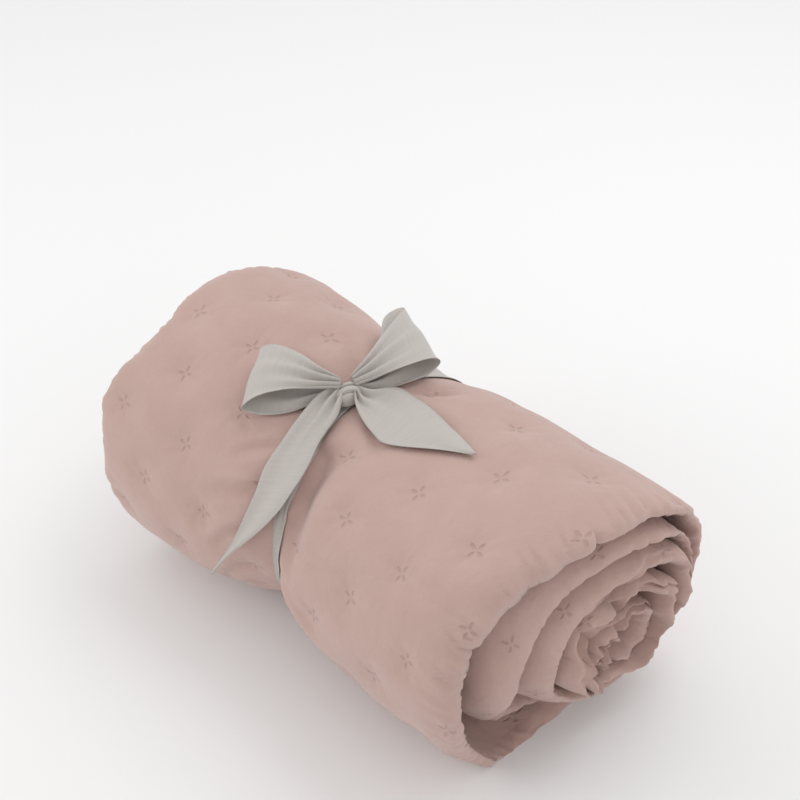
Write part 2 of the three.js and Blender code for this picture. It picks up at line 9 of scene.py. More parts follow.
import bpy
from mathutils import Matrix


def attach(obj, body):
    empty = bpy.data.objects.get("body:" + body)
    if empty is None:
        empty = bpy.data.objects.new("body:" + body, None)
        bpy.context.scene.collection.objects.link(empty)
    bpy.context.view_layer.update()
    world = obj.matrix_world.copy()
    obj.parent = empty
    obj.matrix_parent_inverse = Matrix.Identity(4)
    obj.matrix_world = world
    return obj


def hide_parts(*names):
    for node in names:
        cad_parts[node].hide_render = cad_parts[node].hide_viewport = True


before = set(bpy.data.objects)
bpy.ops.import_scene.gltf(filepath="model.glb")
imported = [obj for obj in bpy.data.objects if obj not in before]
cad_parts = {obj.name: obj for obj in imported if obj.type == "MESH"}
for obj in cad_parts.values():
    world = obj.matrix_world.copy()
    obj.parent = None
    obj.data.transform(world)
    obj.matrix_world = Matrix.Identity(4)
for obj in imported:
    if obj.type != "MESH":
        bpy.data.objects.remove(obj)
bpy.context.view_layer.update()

# %% [markdown]
# Colours are picked as sRGB hex values, the way a paint chart gives them, but Blender's
# shaders work in linear light. One function turns the one into the other.

# %% Colours
def colour(hex_value):
    """A linear RGBA colour from an sRGB hex value."""
    parts = [int(hex_value[i:i + 2], 16) / 255 for i in (0, 2, 4)]
    linear = [p / 12.92 if p <= 0.04045 else ((p + 0.055) / 1.055) ** 2.4 for p in parts]
    return (*linear, 1.0)


print("hex 808080 is", round(colour("808080")[0], 3), "in linear light")

# %% [markdown]
# Cloth has hardly a straight line in it. Three small tools shape most of what follows: a soft
# step, a smooth curve through a table of places and values, and random waves with a seed.
# Displacement from a noise texture makes waves too, but here the same waves have to move the
# cloth in several directions, so we want the numbers themselves, and the same on each run.

# %% Soft steps, smooth curves and random waves
import numpy as np

WAVE_TABLE = 97


def blend(start, end, value):
    """0 before start, 1 after end, and a soft step between."""
    t = np.clip((value - start) / (end - start), 0, 1)
    return t * t * (3 - 2 * t)


def curve(rows, at):
    """A smooth curve through rows of (place, value)."""
    places, values = np.array(rows, float).T
    spans = np.diff(places)
    rises = np.diff(values) / spans
    slopes = np.concatenate([rises[:1], (rises[:-1] * spans[1:] + rises[1:] * spans[:-1])
                             / (spans[:-1] + spans[1:]), rises[-1:]])
    at = np.clip(at, places[0], places[-1])
    i = np.clip(np.searchsorted(places, at, side="right") - 1, 0, len(spans) - 1)
    t, h = (at - places[i]) / spans[i], spans[i]
    return ((2 * t**3 - 3 * t**2 + 1) * values[i] + (t**3 - 2 * t**2 + t) * h * slopes[i]
            + (3 * t**2 - 2 * t**3) * values[i + 1] + (t**3 - t**2) * h * slopes[i + 1])


def ripples(u, v, seed):
    """Smooth random waves between -1 and 1, about one unit long, the same on each run."""
    table = np.random.default_rng(seed).uniform(-1, 1, (WAVE_TABLE, WAVE_TABLE))
    i, j = np.floor(u).astype(int), np.floor(v).astype(int)
    a, b = blend(0, 1, u - i), blend(0, 1, v - j)
    pick = [[table[(i + m) % WAVE_TABLE, (j + n) % WAVE_TABLE] for n in (0, 1)] for m in (0, 1)]
    return ((pick[0][0] * (1 - b) + pick[0][1] * b) * (1 - a)
            + (pick[1][0] * (1 - b) + pick[1][1] * b) * a)


print("a wave with seed 1 starts", ripples(np.array([0.5, 1.5, 2.5]), np.zeros(3), 1).round(2))

# %% [markdown]
# The camera stands off the left of the near end and looks down on the roll. A long lens keeps
# the roll from splaying. Its place was found by fitting the model's outline to the photograph.
# Three rotation angles are hard to read, so we write down where the camera looks, work out
# its two other directions from that, and let a matrix turn them into angles.

# %% Camera
import math
import bpy
from mathutils import Matrix, Vector

ROLL_MIDDLE = Vector((0, 0, 0.1))
scene = bpy.context.scene
camera = bpy.data.objects.new("camera", bpy.data.cameras.new("camera"))
scene.collection.objects.link(camera)
camera.location = (0.5979, -0.6034, 0.9068)
looking = Vector((-0.5400, 0.5561, -0.6318)).normalized()
right = looking.cross(Vector((0, 0, 1))).normalized()
up = right.cross(looking)
camera.rotation_euler = Matrix((right, up, -looking)).transposed().to_euler()
camera.data.sensor_width = 36
camera.data.lens = 65.9
scene.camera = camera
from_middle = camera.location - ROLL_MIDDLE
raised = math.degrees(math.asin(from_middle.z / from_middle.length))
print("camera", round(from_middle.length, 2), "m from the roll,", round(raised, 1), "degrees up")

# %% [markdown]
# A white studio lights cloth from all around, which fills the folds but flattens them. Two
# big soft lamps give the folds their shape again: one above and behind, so that the near end
# falls into shade, and a weaker one low on the left, which rolls over the cover. Area lamps
# are chosen because a bigger lamp gives a softer edge to a shadow.

# %% Light
def soft_lamp(name, place, size, watts):
    """A square lamp, its size in metres, that faces the roll."""
    lamp = bpy.data.objects.new(name, bpy.data.lights.new(name, "AREA"))
    lamp.data.size, lamp.data.energy = size, watts
    lamp.location = place
    lamp.rotation_euler = (ROLL_MIDDLE - Vector(place)).to_track_quat("-Z", "Y").to_euler()
    scene.collection.objects.link(lamp)
    print(name, watts, "W,", size, "m across")


soft_lamp("overhead_lamp", (0.1, 0.8, 1.6), 1.1, 7)
soft_lamp("left_lamp", (-1.3, -1.2, 0.7), 1.0, 6)
world = bpy.data.worlds.new("studio")
scene.world = world
world.use_nodes = True
all_round = world.node_tree.nodes["Background"]
all_round.inputs["Color"].default_value = colour("ffffff")
all_round.inputs["Strength"].default_value = 0.82
# The standard view keeps the colours as they were picked, without a film's curve.
scene.view_settings.view_transform = "Standard"

# %% [markdown]
# The roll lies on a sheet of paper, wide enough to run out of the picture on all sides. Its
# finish comes at the end, with the others.

# %% Floor
FLOOR_WIDE = 6
bpy.ops.mesh.primitive_plane_add(size=FLOOR_WIDE)
floor = bpy.context.object
floor.name = "floor"
print("floor", FLOOR_WIDE, "m wide")

# %% [markdown]
# The roll is one long strip of folded quilt wound in a spiral. Everything on the quilt is
# placed by two numbers: x, the distance along the roll from the tie, and the turn, counted
# from the strip's free end. The roll is oval, because it flattens under its own weight, and
# it has a waist, because the tie draws it in.

# %% The roll's sizes, in millimetres and degrees
NEAR_RIM, FAR_RIM = 210.0, -192.0
THICKNESS, TURNS, START_ANGLE, TWIST = 17.0, 5.0, 266.0, 6.0
AXIS_HEIGHT, FLOOR_REACH, LAYER_GAP = 105.0, -98.0, 0.5
CENTRE = np.array([-11.126, 1.533, 0.0])
# Rows of x and how far the outer face is from the axis, sideways and upwards.
WIDE = [(-192, 133), (-154, 136), (-102, 132), (-52, 125), (0, 120), (42, 126), (84, 131.5),
        (130, 133), (176, 132), (210, 130)]
HIGH = [(-192, 110), (-154, 111.5), (-102, 109), (-52, 104.5), (0, 101), (42, 105.5),
        (84, 108.5), (130, 108), (176, 106.5), (210, 105)]
print("waist", 2 * min(row[1] for row in WIDE), "x", 2 * min(row[1] for row in HIGH), "mm")
print("ends", 2 * max(row[1] for row in WIDE), "x", 2 * max(row[1] for row in HIGH), "mm")

# %% [markdown]
# A rolled quilt isn't an even spiral. Its turns press together underneath, lie loose at the
# sides, and the centre sinks. So each side of the roll has a table of its own: rows of a turn
# and how far the strip's middle line is from the axis there. At the tie a share of the full
# size is enough, because all turns are drawn in alike.

# %% How far each turn is from the axis
NEAR_REACH = {
    "left": [(0, -100), (.1, -106), (.222, -129), (1.222, -88), (2.222, -47), (3.222, -18),
             (4.222, 5)],
    "top": [(.472, 106), (1.472, 80), (2.472, 46), (3.472, 17), (4.472, -8)],
    "right": [(.722, 123), (1.722, 110), (2.722, 98), (3.722, 80), (4.722, 60)],
    "bottom": [(0, -112), (.1, -122), (.3, -112), (.6, -100), (.8, -101), (.9, -98), (.972, -91),
               (1.01, -86), (1.1, -83), (1.972, -66), (2.972, -54), (3.972, -46), (4.972, -40)],
}
FAR_REACH = {
    "left": [(.222, -125), (1.222, -95), (2.222, -64), (3.222, -36), (4.222, -10)],
    "top": [(.472, 102), (1.472, 76), (2.472, 49), (3.472, 24), (4.472, 0)],
    "right": [(.722, 125), (1.722, 102), (2.722, 78), (3.722, 52), (4.722, 26)],
    "bottom": [(0, -100), (.6, -100), (.8, -104), (.9, -105), (.972, -95), (1.01, -87),
               (1.1, -83), (1.972, -64), (2.972, -44), (3.972, -24), (4.972, -6)],
}
TIE_SHARE = {
    "left": [(.222, -1), (1.222, -.78), (2.222, -.56), (3.222, -.34), (4.222, -.12)],
    "top": [(.472, 1), (1.472, .77), (2.472, .54), (3.472, .31), (4.472, .08)],
    "right": [(.722, 1), (1.722, .8), (2.722, .6), (3.722, .4), (4.722, .2)],
    "bottom": [(0, -1), (.6, -.985), (.8, -1.02), (.9, -1.03), (.972, -.93), (1.01, -.86),
               (1.1, -.82), (1.972, -.62), (2.972, -.42), (3.972, -.22), (4.972, -.05)],
}
print("the near end's turns pass its right side at", [row[1] for row in NEAR_REACH["right"]], "mm")

# %% [markdown]
# Nobody rolls a quilt with its edges level. Each turn's rim stands out or back by an amount
# of its own, and leans to one of its faces. The filling can swell only as far as the next
# turn lets it. All of this differs from place to place, so it is kept as tables of a turn or
# an angle and a value, which can be corrected one row at a time.

# %% Rims, filling and the crease under the tie
RIM_OUT = [(0, -18), (.06, -22), (.1, -28), (.13, -24), (.17, -18), (.21, -13), (.25, -15),
           (.3, -18), (.36, -20), (.42, -12), (.5, 0), (.58, 5), (.65, 6), (.72, 10), (.8, 11),
           (.87, 3), (.95, -8), (1, -11), (1.1, -10), (1.2, -4), (1.27, -8), (1.4, -9),
           (1.48, -2), (1.55, 7), (1.62, 2), (1.75, 4), (1.95, -6), (2.1, -12), (2.2, -6),
           (2.37, -7), (2.5, -2), (2.6, 0), (2.75, 2), (3, -4), (3.5, -6), (4.3, -10)]
RIM_LEAN = [(0, .5), (35, .45), (60, 0), (80, -.6), (100, -.9), (205, -.9), (232, -.2),
            (250, .5), (300, .6), (360, .5)]
MOST_IN = [(0, 8.5), (.15, 8.5), (.27, 16), (.4, 20), (.6, 16), (.9, 8.5), (1.1, 12), (1.3, 20),
           (4.5, 20)]
MOST_OUT = [(0, 20), (1, 20), (1.05, 12), (1.2, 12), (1.32, 20), (4.5, 20)]
CREASE_AT = [(0, -12), (55, -17), (95, -23), (127, -13), (153, -7), (176, -3), (205, -8),
             (235, -8), (270, -8), (315, -10), (360, -12)]
CREASE_DEPTH = [(0, 5), (55, 5), (95, 7), (127, 8.5), (153, 11), (176, 14), (205, 15),
                (235, 13), (270, 9), (315, 7), (360, 5)]
rim_places = [row[1] for row in RIM_OUT]
print("rims stand", -min(rim_places), "mm back to", max(rim_places), "mm out")
print("crease up to", max(row[1] for row in CREASE_DEPTH), "mm deep")

# %% [markdown]
# First the two scales: how long the strip is at a turn, and at which angle a turn stands.
# Turns get shorter towards the centre, so the length is a little less than in proportion. The
# tie twists the roll by a few degrees, so the near half stands turned against the far half.

# %% Lengths, angles and turns
FIRST_TURN, TURN_LOSS, TWIST_REACH = 752, 71, 40


def length_at(turn):
    """Millimetres of strip from its free end to a turn."""
    return FIRST_TURN * turn - TURN_LOSS * turn * turn


def angle_at(x, turn):
    """Degrees round the roll, from its right side over the top, seen from the near end."""
    return START_ANGLE - 360 * turn - TWIST * np.tanh(x / TWIST_REACH)


def turn_at(x, angle):
    """The turn of the cover at an angle."""
    return (START_ANGLE - TWIST * np.tanh(x / TWIST_REACH) - angle) / 360


print("strip rolled up", round(length_at(TURNS)), "mm long")

# %% [markdown]
# A quarter of a slightly squared ellipse joins each pair of neighbouring sides of the spiral.
# The same formulas made the solid model, so the cloth lands on it with no fitting. Working on
# whole arrays of points at once keeps this fast enough for a fine mesh.

# %% The spiral's middle line and its outward direction
ELLIPSE_POWER = 2 / 2.08
# The reach tables were drawn for a middle line this wide and high, in millimetres.
DRAWN_WIDE, DRAWN_HIGH = 124, 99
# The crease is a share of this radius deep, and its near side is steeper than its far side.
CREASE_RADIUS, CREASE_NEAR, CREASE_FAR = 115, 11, 17


def middle(x, turn, creased=True):
    """How far sideways and up the strip's middle line is from the axis."""
    angle = angle_at(x, turn)
    near_share, far_share = blend(70, 180, x), blend(60, 160, -x)
    full = {"left": curve(WIDE, x) - THICKNESS / 2, "top": curve(HIGH, x) - THICKNESS / 2}
    full["right"], full["bottom"] = full["left"], full["top"]
    reach = {}
    for side in ("left", "top", "right", "bottom"):
        scale = full[side] / (DRAWN_WIDE if side in ("left", "right") else DRAWN_HIGH)
        reach[side] = ((1 - near_share - far_share) * full[side] * curve(TIE_SHARE[side], turn)
                       + scale * near_share * curve(NEAR_REACH[side], turn)
                       + scale * far_share * curve(FAR_REACH[side], turn))
    c, s = np.cos(np.radians(angle)), np.sin(np.radians(angle))
    across = np.sign(c) * np.abs(c) ** ELLIPSE_POWER
    rise = np.sign(s) * np.abs(s) ** ELLIPSE_POWER
    y = (reach["left"] + reach["right"]) / 2 + (reach["right"] - reach["left"]) / 2 * across
    z = (reach["top"] + reach["bottom"]) / 2 + (reach["top"] - reach["bottom"]) / 2 * rise
    z = np.maximum(z, FLOOR_REACH)
    if creased:
        off = x - curve(CREASE_AT, angle % 360)
        pull = 1 - curve(CREASE_DEPTH, angle % 360) / CREASE_RADIUS * np.exp(
            -(np.abs(off) / np.where(off > 0, CREASE_NEAR, CREASE_FAR)) ** 1.4)
        y, z = y * pull, z * pull
    return y, z


def outward(x, turn, creased=True):
    """The direction that points out of the roll, square to the middle line."""
    y1, z1 = middle(x, turn - 0.002, creased)
    y2, z2 = middle(x, turn + 0.002, creased)
    long = np.hypot(y2 - y1, z2 - z1)
    return (z1 - z2) / long, (y2 - y1) / long


half_way = np.hypot(*middle(np.array([0.0]), np.array([0.5])))
print("half a turn from its free end the strip is", round(float(half_way[0])), "mm out")

# %% [markdown]
# The last step from the spiral to the room: the ends are made uneven, the far half leans, the
# corner of the free end sags, and the roll is set down. Cutting all heights off at the floor
# would press several layers into one plane, which renders as black patches. So heights near
# the floor get ever smaller instead and never quite meet it.

# %% From the spiral to the room
FLOOR_SOFTNESS = 1.5
# The far half leans between its rim and this x, by a share of the way round from its middle.
LEANS_TO, LEAN_SHARE, LEAN_MIDDLE, LEAN_END = -20, 0.09, 250, 520


def place(x, y, z, turn):
    """Points in metres, in the part's own frame, from millimetres round the spiral's axis."""
    near_part = np.clip(x / NEAR_RIM, 0, 1) ** 2
    far_part = np.clip(x / FAR_RIM, 0, 1) ** 2
    leaning = np.where((x > FAR_RIM) & (x < LEANS_TO),
                       np.sin(np.pi * (x - FAR_RIM) / (LEANS_TO - FAR_RIM)) ** 2, 0)
    lean = -LEAN_SHARE * (np.minimum(length_at(turn), LEAN_END) - LEAN_MIDDLE) * leaning
    out = near_part * curve(RIM_OUT, turn) - far_part * (0.04 * y + 0.05 * z)
    sag = 11 * np.exp(-((turn - .085) / .05) ** 2) * blend(140, 200, x)
    z = z + AXIS_HEIGHT - sag
    pressed = FLOOR_SOFTNESS * np.exp(np.minimum(z, FLOOR_SOFTNESS) / FLOOR_SOFTNESS - 1)
    z = np.where(z < FLOOR_SOFTNESS, pressed, z)
    points = np.stack([x + out + lean, y, z], -1)
    return (points + CENTRE) / 1000


set_down = place(0.0, 0.0, -AXIS_HEIGHT - 1, 0.5)[2]
print("a point 1 mm under the floor is set", round(float(set_down) * 1000, 2), "mm over it")

# %% [markdown]
# Little stitched tufts hold the filling in place. They stand in rows round the roll, every
# second row half a step over. The cloth dips at each tuft and swells between them, and the
# swelling is what tells the eye that there is filling inside. The distance to the nearest
# tuft gives all of it, so the tufts needn't be modelled one by one.

# %% The places of the tufts
TUFT_ROW, FIRST_TUFT_ROW = 43.3, 35.0
# Rows of a step and its x. A step is longer across the tie, where the photograph has it so.
TUFT_STEPS = [(-5, -357.6), (-.5, -75), (.5, 17), (6, 428.4)]


def tuft_place(x, length):
    """Step and row of a place on the strip: tufts are where both are whole or both half."""
    steps, places = np.array(TUFT_STEPS, float).T
    row = (length - FIRST_TUFT_ROW) / TUFT_ROW
    return np.interp(x, places, steps), row / 2 + 0.5


def to_tuft(x, length):
    """Distance in millimetres to the nearest tuft, along the roll and round it."""
    step, row = tuft_place(x, length)
    # How long a step is, from the rows above: near half, far half and across the tie.
    pitch = np.where(x > 17, 74.8, np.where(x < -75, 62.8, 92.0))
    best = None
    for shift in (0.0, 0.5):
        along = (step - shift - np.round(step - shift)) * pitch
        round_it = (row - shift - np.round(row - shift)) * 2 * TUFT_ROW
        far = np.hypot(along, round_it)
        best = (far, along, round_it) if best is None else tuple(
            np.where(far < best[0], new, old) for new, old in zip((far, along, round_it), best))
    return best


print("tufts", 2 * TUFT_ROW, "mm apart round the roll, every second row half a step over")

# %% The dip at a tuft and the swelling between tufts
def swelling(run, length, depth=4.2):
    """How far the face stands in (-) or out (+) from the smooth roll because of the tufts."""
    far, along, round_it = to_tuft(run, length)
    way = np.arctan2(round_it, along)
    pucker = np.cos(6 * way + 5 * ripples(run / 40, length / 40, 3))
    pucker = pucker * np.exp(-((far - 11) / 6) ** 2)
    dip = -depth * np.exp(-(far / 14) ** 2)
    return dip + 0.35 * pucker + 0.9 * ripples(run / 38, length / 34, 5)


sample = swelling(*np.meshgrid(np.arange(0.0, 150), np.arange(0.0, 150)))
print("swelling from", sample.min().round(1), "to", sample.max().round(1), "mm")

# %% [markdown]
# Main creases run out from the tie where the cloth is gathered. Sculpting them would do, but
# a table can be read and corrected. So each is listed: where it starts and ends, its
# depth and its width. A trough with a small ridge beside it reads as a fold, where a trough
# alone reads as a scratch.

# %% Creases and hollows, listed one by one
# Each row: x and angle at one end, x and angle at the other, depth, half width.
CREASES = [
    (-2, 118, 14, 158, 4.0, 9), (2, 150, 22, 176, 3.5, 8), (-34, 128, -62, 140, 2.2, 5),
    (-30, 150, -70, 158, 2.4, 6), (-26, 166, -64, 182, 2.6, 6), (-30, 188, -66, 204, 2.0, 6),
    (-40, 108, -70, 116, 1.8, 5), (-36, 84, -66, 74, 1.8, 6), (4, 96, 40, 112, 1.5, 6),
    (0, 78, 34, 66, 1.6, 7), (2, 190, 44, 204, 2.0, 7), (6, 176, 60, 190, 1.4, 6),
    (-44, 96, -88, 98, 1.2, 5), (-12, 214, 30, 226, 2.0, 7), (-34, 210, -80, 222, 1.8, 7),
]

# Broad hollows (-) and swells (+): x, angle, half width of each, height.
HOLLOWS = [(-32, 212, 26, 22, -7), (-60, 60, 30, 22, 3.5), (45, 45, 30, 24, 4.5),
           (160, 184, 40, 14, -3), (9, 136, 13, 26, -7), (-58, 158, 20, 16, 2)]
print(len(CREASES), "creases and", len(HOLLOWS), "hollows and swells")

# %% What the creases do to the cover
# Each crease is a little deeper than its row says, and 1 degree round the roll is 2 mm.
CREASE_GAIN, MM_PER_DEGREE = 1.4, 2.0


def creasing(x, angle):
    """How far the creases and hollows lift the cover, in millimetres."""
    depth = np.zeros(np.broadcast(x, angle).shape)
    for x1, a1, x2, a2, deep, half in CREASES:
        run = np.array([x2 - x1, (a2 - a1) * MM_PER_DEGREE])
        long = np.hypot(*run)
        run = run / long
        px, pa = x - x1, (angle - a1) * MM_PER_DEGREE
        along = px * run[0] + pa * run[1]
        aside = -px * run[1] + pa * run[0] + 2.5 * ripples(along / 22, x * 0 + deep, 11)
        part = blend(-6, 10, along) * (1 - blend(long - 16, long + 10, along))
        ridge = 0.45 * np.exp(-((aside - 1.7 * half) / half) ** 2)
        depth += part * deep * CREASE_GAIN * (-np.exp(-(aside / half) ** 2) + ridge)
    for at_x, at_angle, half_x, half_angle, rise in HOLLOWS:
        depth += rise * np.exp(-((x - at_x) / half_x) ** 2
                               - ((angle - at_angle) / half_angle) ** 2)
    return depth


sample = creasing(*np.meshgrid(np.arange(-100.0, 100), np.arange(60.0, 230)))
print("creases from", sample.min().round(1), "to", sample.max().round(1), "mm")

# %% [markdown]
# The strip's section is drawn as one line: along the inner face, round the soft rim and back
# along the outer face. Swept round the spiral it gives one strip without a seam. A curve with
# a bevel profile could be swept too, but its profile can't change from place to place. First
# its thickness: the filling takes the room between the turns, up to what it can swell to.

# %% How thick the strip is
# The innermost turn has this much room inside, in millimetres.
CENTRE_ROOM = 12.0


def half_thickness(x, turn):
    """Distance from the middle line to the inner and outer faces where no rim is near."""
    y, z = middle(x, turn)
    ny, nz = outward(x, turn)

    def room(other):
        yo, zo = middle(x, other)
        return np.abs((yo - y) * ny + (zo - z) * nz) / 2 - LAYER_GAP / 2

    room_in = np.where(turn > TURNS - 1, CENTRE_ROOM, room(turn + 1))
    room_out = np.where(turn < 1, THICKNESS / 2, room(turn - 1))
    pressed = 1 - blend(95, 150, np.abs(x - 5))
    half_in = np.minimum(room_in, curve(MOST_IN, turn))
    half_out = np.minimum(room_out, curve(MOST_OUT, turn))
    # At the near end the turns stand a little apart, which gives the dark grooves there.
    apart = 0.36 * blend(150, 195, x)
    half_in = half_in * (1 - apart)
    half_out = half_out * (1 - apart * blend(1.08, 1.2, turn))
    return (np.maximum(half_in + pressed * (room_in - half_in), 1),
            np.maximum(half_out + pressed * (room_out - half_out), 1))


sample = sum(half_thickness(np.full(3, 200.0), np.array([0.5, 1.5, 2.5])))
print("at the near end the turns are", sample.round(1), "mm thick")

# %% [markdown]
# A rim is the folded edge of the strip. It is rounded, and its crest leans to one of the two
# faces, so one of them curves over a longer way than the other. The section's points crowd
# together where it curves most, so that the edge stays round without a finer mesh elsewhere.

# %% The section's steps round a rim
NEAR_ROUND, FAR_ROUND, LEAST_ROUND = 30, 22, 4


def rim_steps(x_from, rim, lean, steps):
    """Columns from the inner face round a rim to the outer face: x, and the share out."""
    side = 1 if rim > 0 else -1
    total = NEAR_ROUND if rim > 0 else FAR_ROUND
    inner_long = LEAST_ROUND + total * (1 + lean) / 2
    outer_long = LEAST_ROUND + total * (1 - lean) / 2
    columns, faces = [], []
    for k in np.linspace(0, 1, steps[0])[:-1]:
        columns.append(x_from + (rim - side * inner_long - x_from) * k)
        faces.append(-1 + 0 * lean)
    for phi in np.linspace(np.pi / 2, 0, steps[1])[:-1]:
        columns.append(rim - side * inner_long * (1 - np.cos(phi)))
        faces.append(-np.sin(phi) + 0 * lean)
    for phi in np.linspace(0, np.pi / 2, steps[1]):
        columns.append(rim - side * outer_long * (1 - np.cos(phi)))
        faces.append(np.sin(phi) + 0 * lean)
    return np.array(columns).T, np.array(faces).T


sample = rim_steps(112.0, NEAR_RIM, np.zeros(1), (10, 10))[0]
print("a rim's section has", sample.shape[1], "points, up to x", sample.max())

# %% [markdown]
# Sweeping puts that section at each turn of the spiral. A relief function, given further down
# for each piece, says how far every point is lifted off the face and slid along the roll.

# %% Sweeping the section round the spiral
MOST_LEAN, END_ROUND, TIP_LONG = .9, 12, .1


def sweep(turns, columns, faces, relief, anchor):
    """Points of a piece, the length round the roll, and the run across the strip's section."""
    turn = turns[:, None] + 0 * columns
    x = columns
    length = length_at(turn)
    y, z = middle(x, turn)
    ny, nz = outward(x, turn)
    half_in, half_out = half_thickness(x, turn)
    lean = curve(RIM_LEAN, angle_at(x, turn) % 360)
    lean = np.where(x > 0, np.clip(lean, -MOST_LEAN, MOST_LEAN), 0)
    crest = np.where(lean > 0, lean * half_out, lean * half_in)
    # A power under one keeps the cover's lip full and crisp, one over one opens a valley behind
    # the rim of an inner turn.
    bend = np.where(x > 0, 0.62 + 0.63 * blend(1.08, 1.2, turn), 1.0)
    off = np.where(faces > 0, crest + (half_out - crest) * np.abs(faces) ** bend,
                   crest + (half_in + crest) * faces)
    # The run equals x on the outer face and goes on round the rims, so patterns don't stretch.
    steps = np.hypot(np.diff(x, axis=1), np.diff(off, axis=1))
    run = np.concatenate([0 * x[:, :1], np.cumsum(steps, axis=1)], 1)
    run = run - run[:, anchor, None] + x[:, anchor, None]
    to_end = np.minimum(length, length_at(TURNS) - length)
    end_part = np.sqrt(1 - (1 - np.clip(to_end / END_ROUND, 0, 1)) ** 2)
    lift, slide = relief(x, turn, length, faces, run)
    off = (off + lift) * end_part
    # The near corner of the free end is drawn in under the roll.
    tip = 38 * np.clip(1 - turn / TIP_LONG, 0, 1) ** 1.5 * blend(100, 185, x)
    return place(x + slide, y + ny * off + tip, z + nz * off, turn), length, run


sample = sweep(np.array([0.5]), np.array([[0.0, 50.0]]), np.ones((1, 2)),
               lambda *_: (0, 0), 0)[0]
print("two points of the outer face, half a turn in, in metres:", sample.round(3).tolist())

# %% [markdown]
# Along a rim the folded edge is drawn in by its stitches. That makes scallops with sharp
# notches between them, and short wrinkles that run off the rim and die out. The square root
# of a random wave has just this form: round on top and pointed where it goes through nought.
# Two tables slide the rims out or back where the real ones stand further than the solid's.

# %% Scallops and wrinkles along a rim
NEAR_RIM_OUT = [(0, 0), (.03, 0), (.07, 0), (.1, 6), (.14, 0), (.2, 0), (.7, 0), (.8, -8),
                (.88, -20), (1.0, -26), (1.1, -22), (1.2, 0), (1.4, 6), (1.6, 8), (1.8, 12),
                (1.95, 14), (2.1, 10), (2.25, 8), (2.45, 9), (2.6, 10), (2.8, 10), (3, 12),
                (3.3, 15), (3.7, 20), (4, 19), (5, 15)]
FAR_RIM_OUT = [(0, 0), (.2, -2), (.25, -6), (.3, -8), (.335, -16), (.36, -14), (.4, -6), (.44, -2),
               (.48, -10), (.53, -13), (.58, -8), (.65, -2), (1.2, 0), (4.5, 0)]


def lobes(length, size, seed):
    """Rounded lobes with sharp notches between them, as stitches make along an edge."""
    return np.sqrt(np.abs(ripples(length / size, 0 * length, seed)) + 0.01) - 0.5


def rim_wrinkles(x, length, rim, faces, seed):
    """Sideways scallops and short wrinkles near a rim: lift and slide in millimetres."""
    to_rim = np.abs(rim - x)
    some = np.clip(0.5 + 0.9 * ripples(length / 41, 0 * x, seed + 4), 0, 1.2)
    scallop = (3.6 * some * lobes(length, 13, seed)
               + (1.5 - 0.9 * some) * lobes(length, 6, seed + 1))
    reach = 20 + 9 * ripples(length / 30, 0 * x, seed + 3)
    fine = lobes(length + 0.35 * x, 6.3, seed + 2) * 2.4
    fade = np.exp(-(to_rim / reach) ** 2) * blend(0.05, 0.5, np.abs(faces))
    return fine * fade, scallop * np.exp(-(to_rim / 13) ** 2)


sample = rim_wrinkles(np.full(500, 205.0), np.arange(500.0), NEAR_RIM, np.ones(500), 21)
print("wrinkles", np.ptp(sample[0]).round(1), "mm, scallops", np.ptp(sample[1]).round(1), "mm")

# %% [markdown]
# The cover is the outer turn. Its relief adds up all that shows on it: tufts and swelling on
# both faces, creases on the outer one, and scallops and wrinkles at both of its rims.

# %% Relief of the cover
NEAR_WRINKLES, NEAR_SCALLOPS, RIM_REACH = 1.7, 1.5, 40


def cover_relief(x, turn, length, faces, run):
    """Lift off the face and slide along the roll, in millimetres."""
    angle = angle_at(x, turn)
    face = np.sign(faces) * np.abs(faces) ** 2
    lift = face * swelling(run, length) * np.where(faces > 0, 1, 0.6)
    lift = lift + blend(0.2, 1, faces) * creasing(x, angle) * (turn < 1)
    near_lift, near_slide = rim_wrinkles(x, length, NEAR_RIM, faces, 21)
    near_lift = NEAR_WRINKLES * near_lift
    near_slide = NEAR_SCALLOPS * near_slide
    near_slide += curve(NEAR_RIM_OUT, turn) * np.exp(-((x - NEAR_RIM) / RIM_REACH) ** 2)
    far_lift, far_slide = rim_wrinkles(x, length, FAR_RIM, faces, 31)
    far_slide += curve(FAR_RIM_OUT, turn) * np.exp(-((x - FAR_RIM) / RIM_REACH) ** 2)
    return lift + np.where(x > 0, near_lift, far_lift), np.where(x > 0, near_slide, far_slide)


sample = np.full(500, 60.0)
sample = cover_relief(sample, sample * 0 + 0.5, np.arange(500.0), np.ones(500), sample)[0]
print("the cover's face lifts from", sample.min().round(1), "to", sample.max().round(1), "mm")

# %% [markdown]
# Inside, the turns were pushed and pulled as the quilt was rolled, so the centre is crumpled.
# Loose crumpled pieces in the middle would be easy, but they would look cut. Pushing the turns
# sideways, in and out by smooth random waves that grow towards the centre makes lobes and
# pockets that stay one continuous strip. The seeds were chosen by looking at the result.

# %% Relief of the inner turns
CRUMPLE_FROM, CRUMPLE_TO = 2.3, 2.75
# Past this turn the waves get shorter, as if more of the strip were packed in.
PACKED_FROM, PACKED_MORE = 3.3, 110


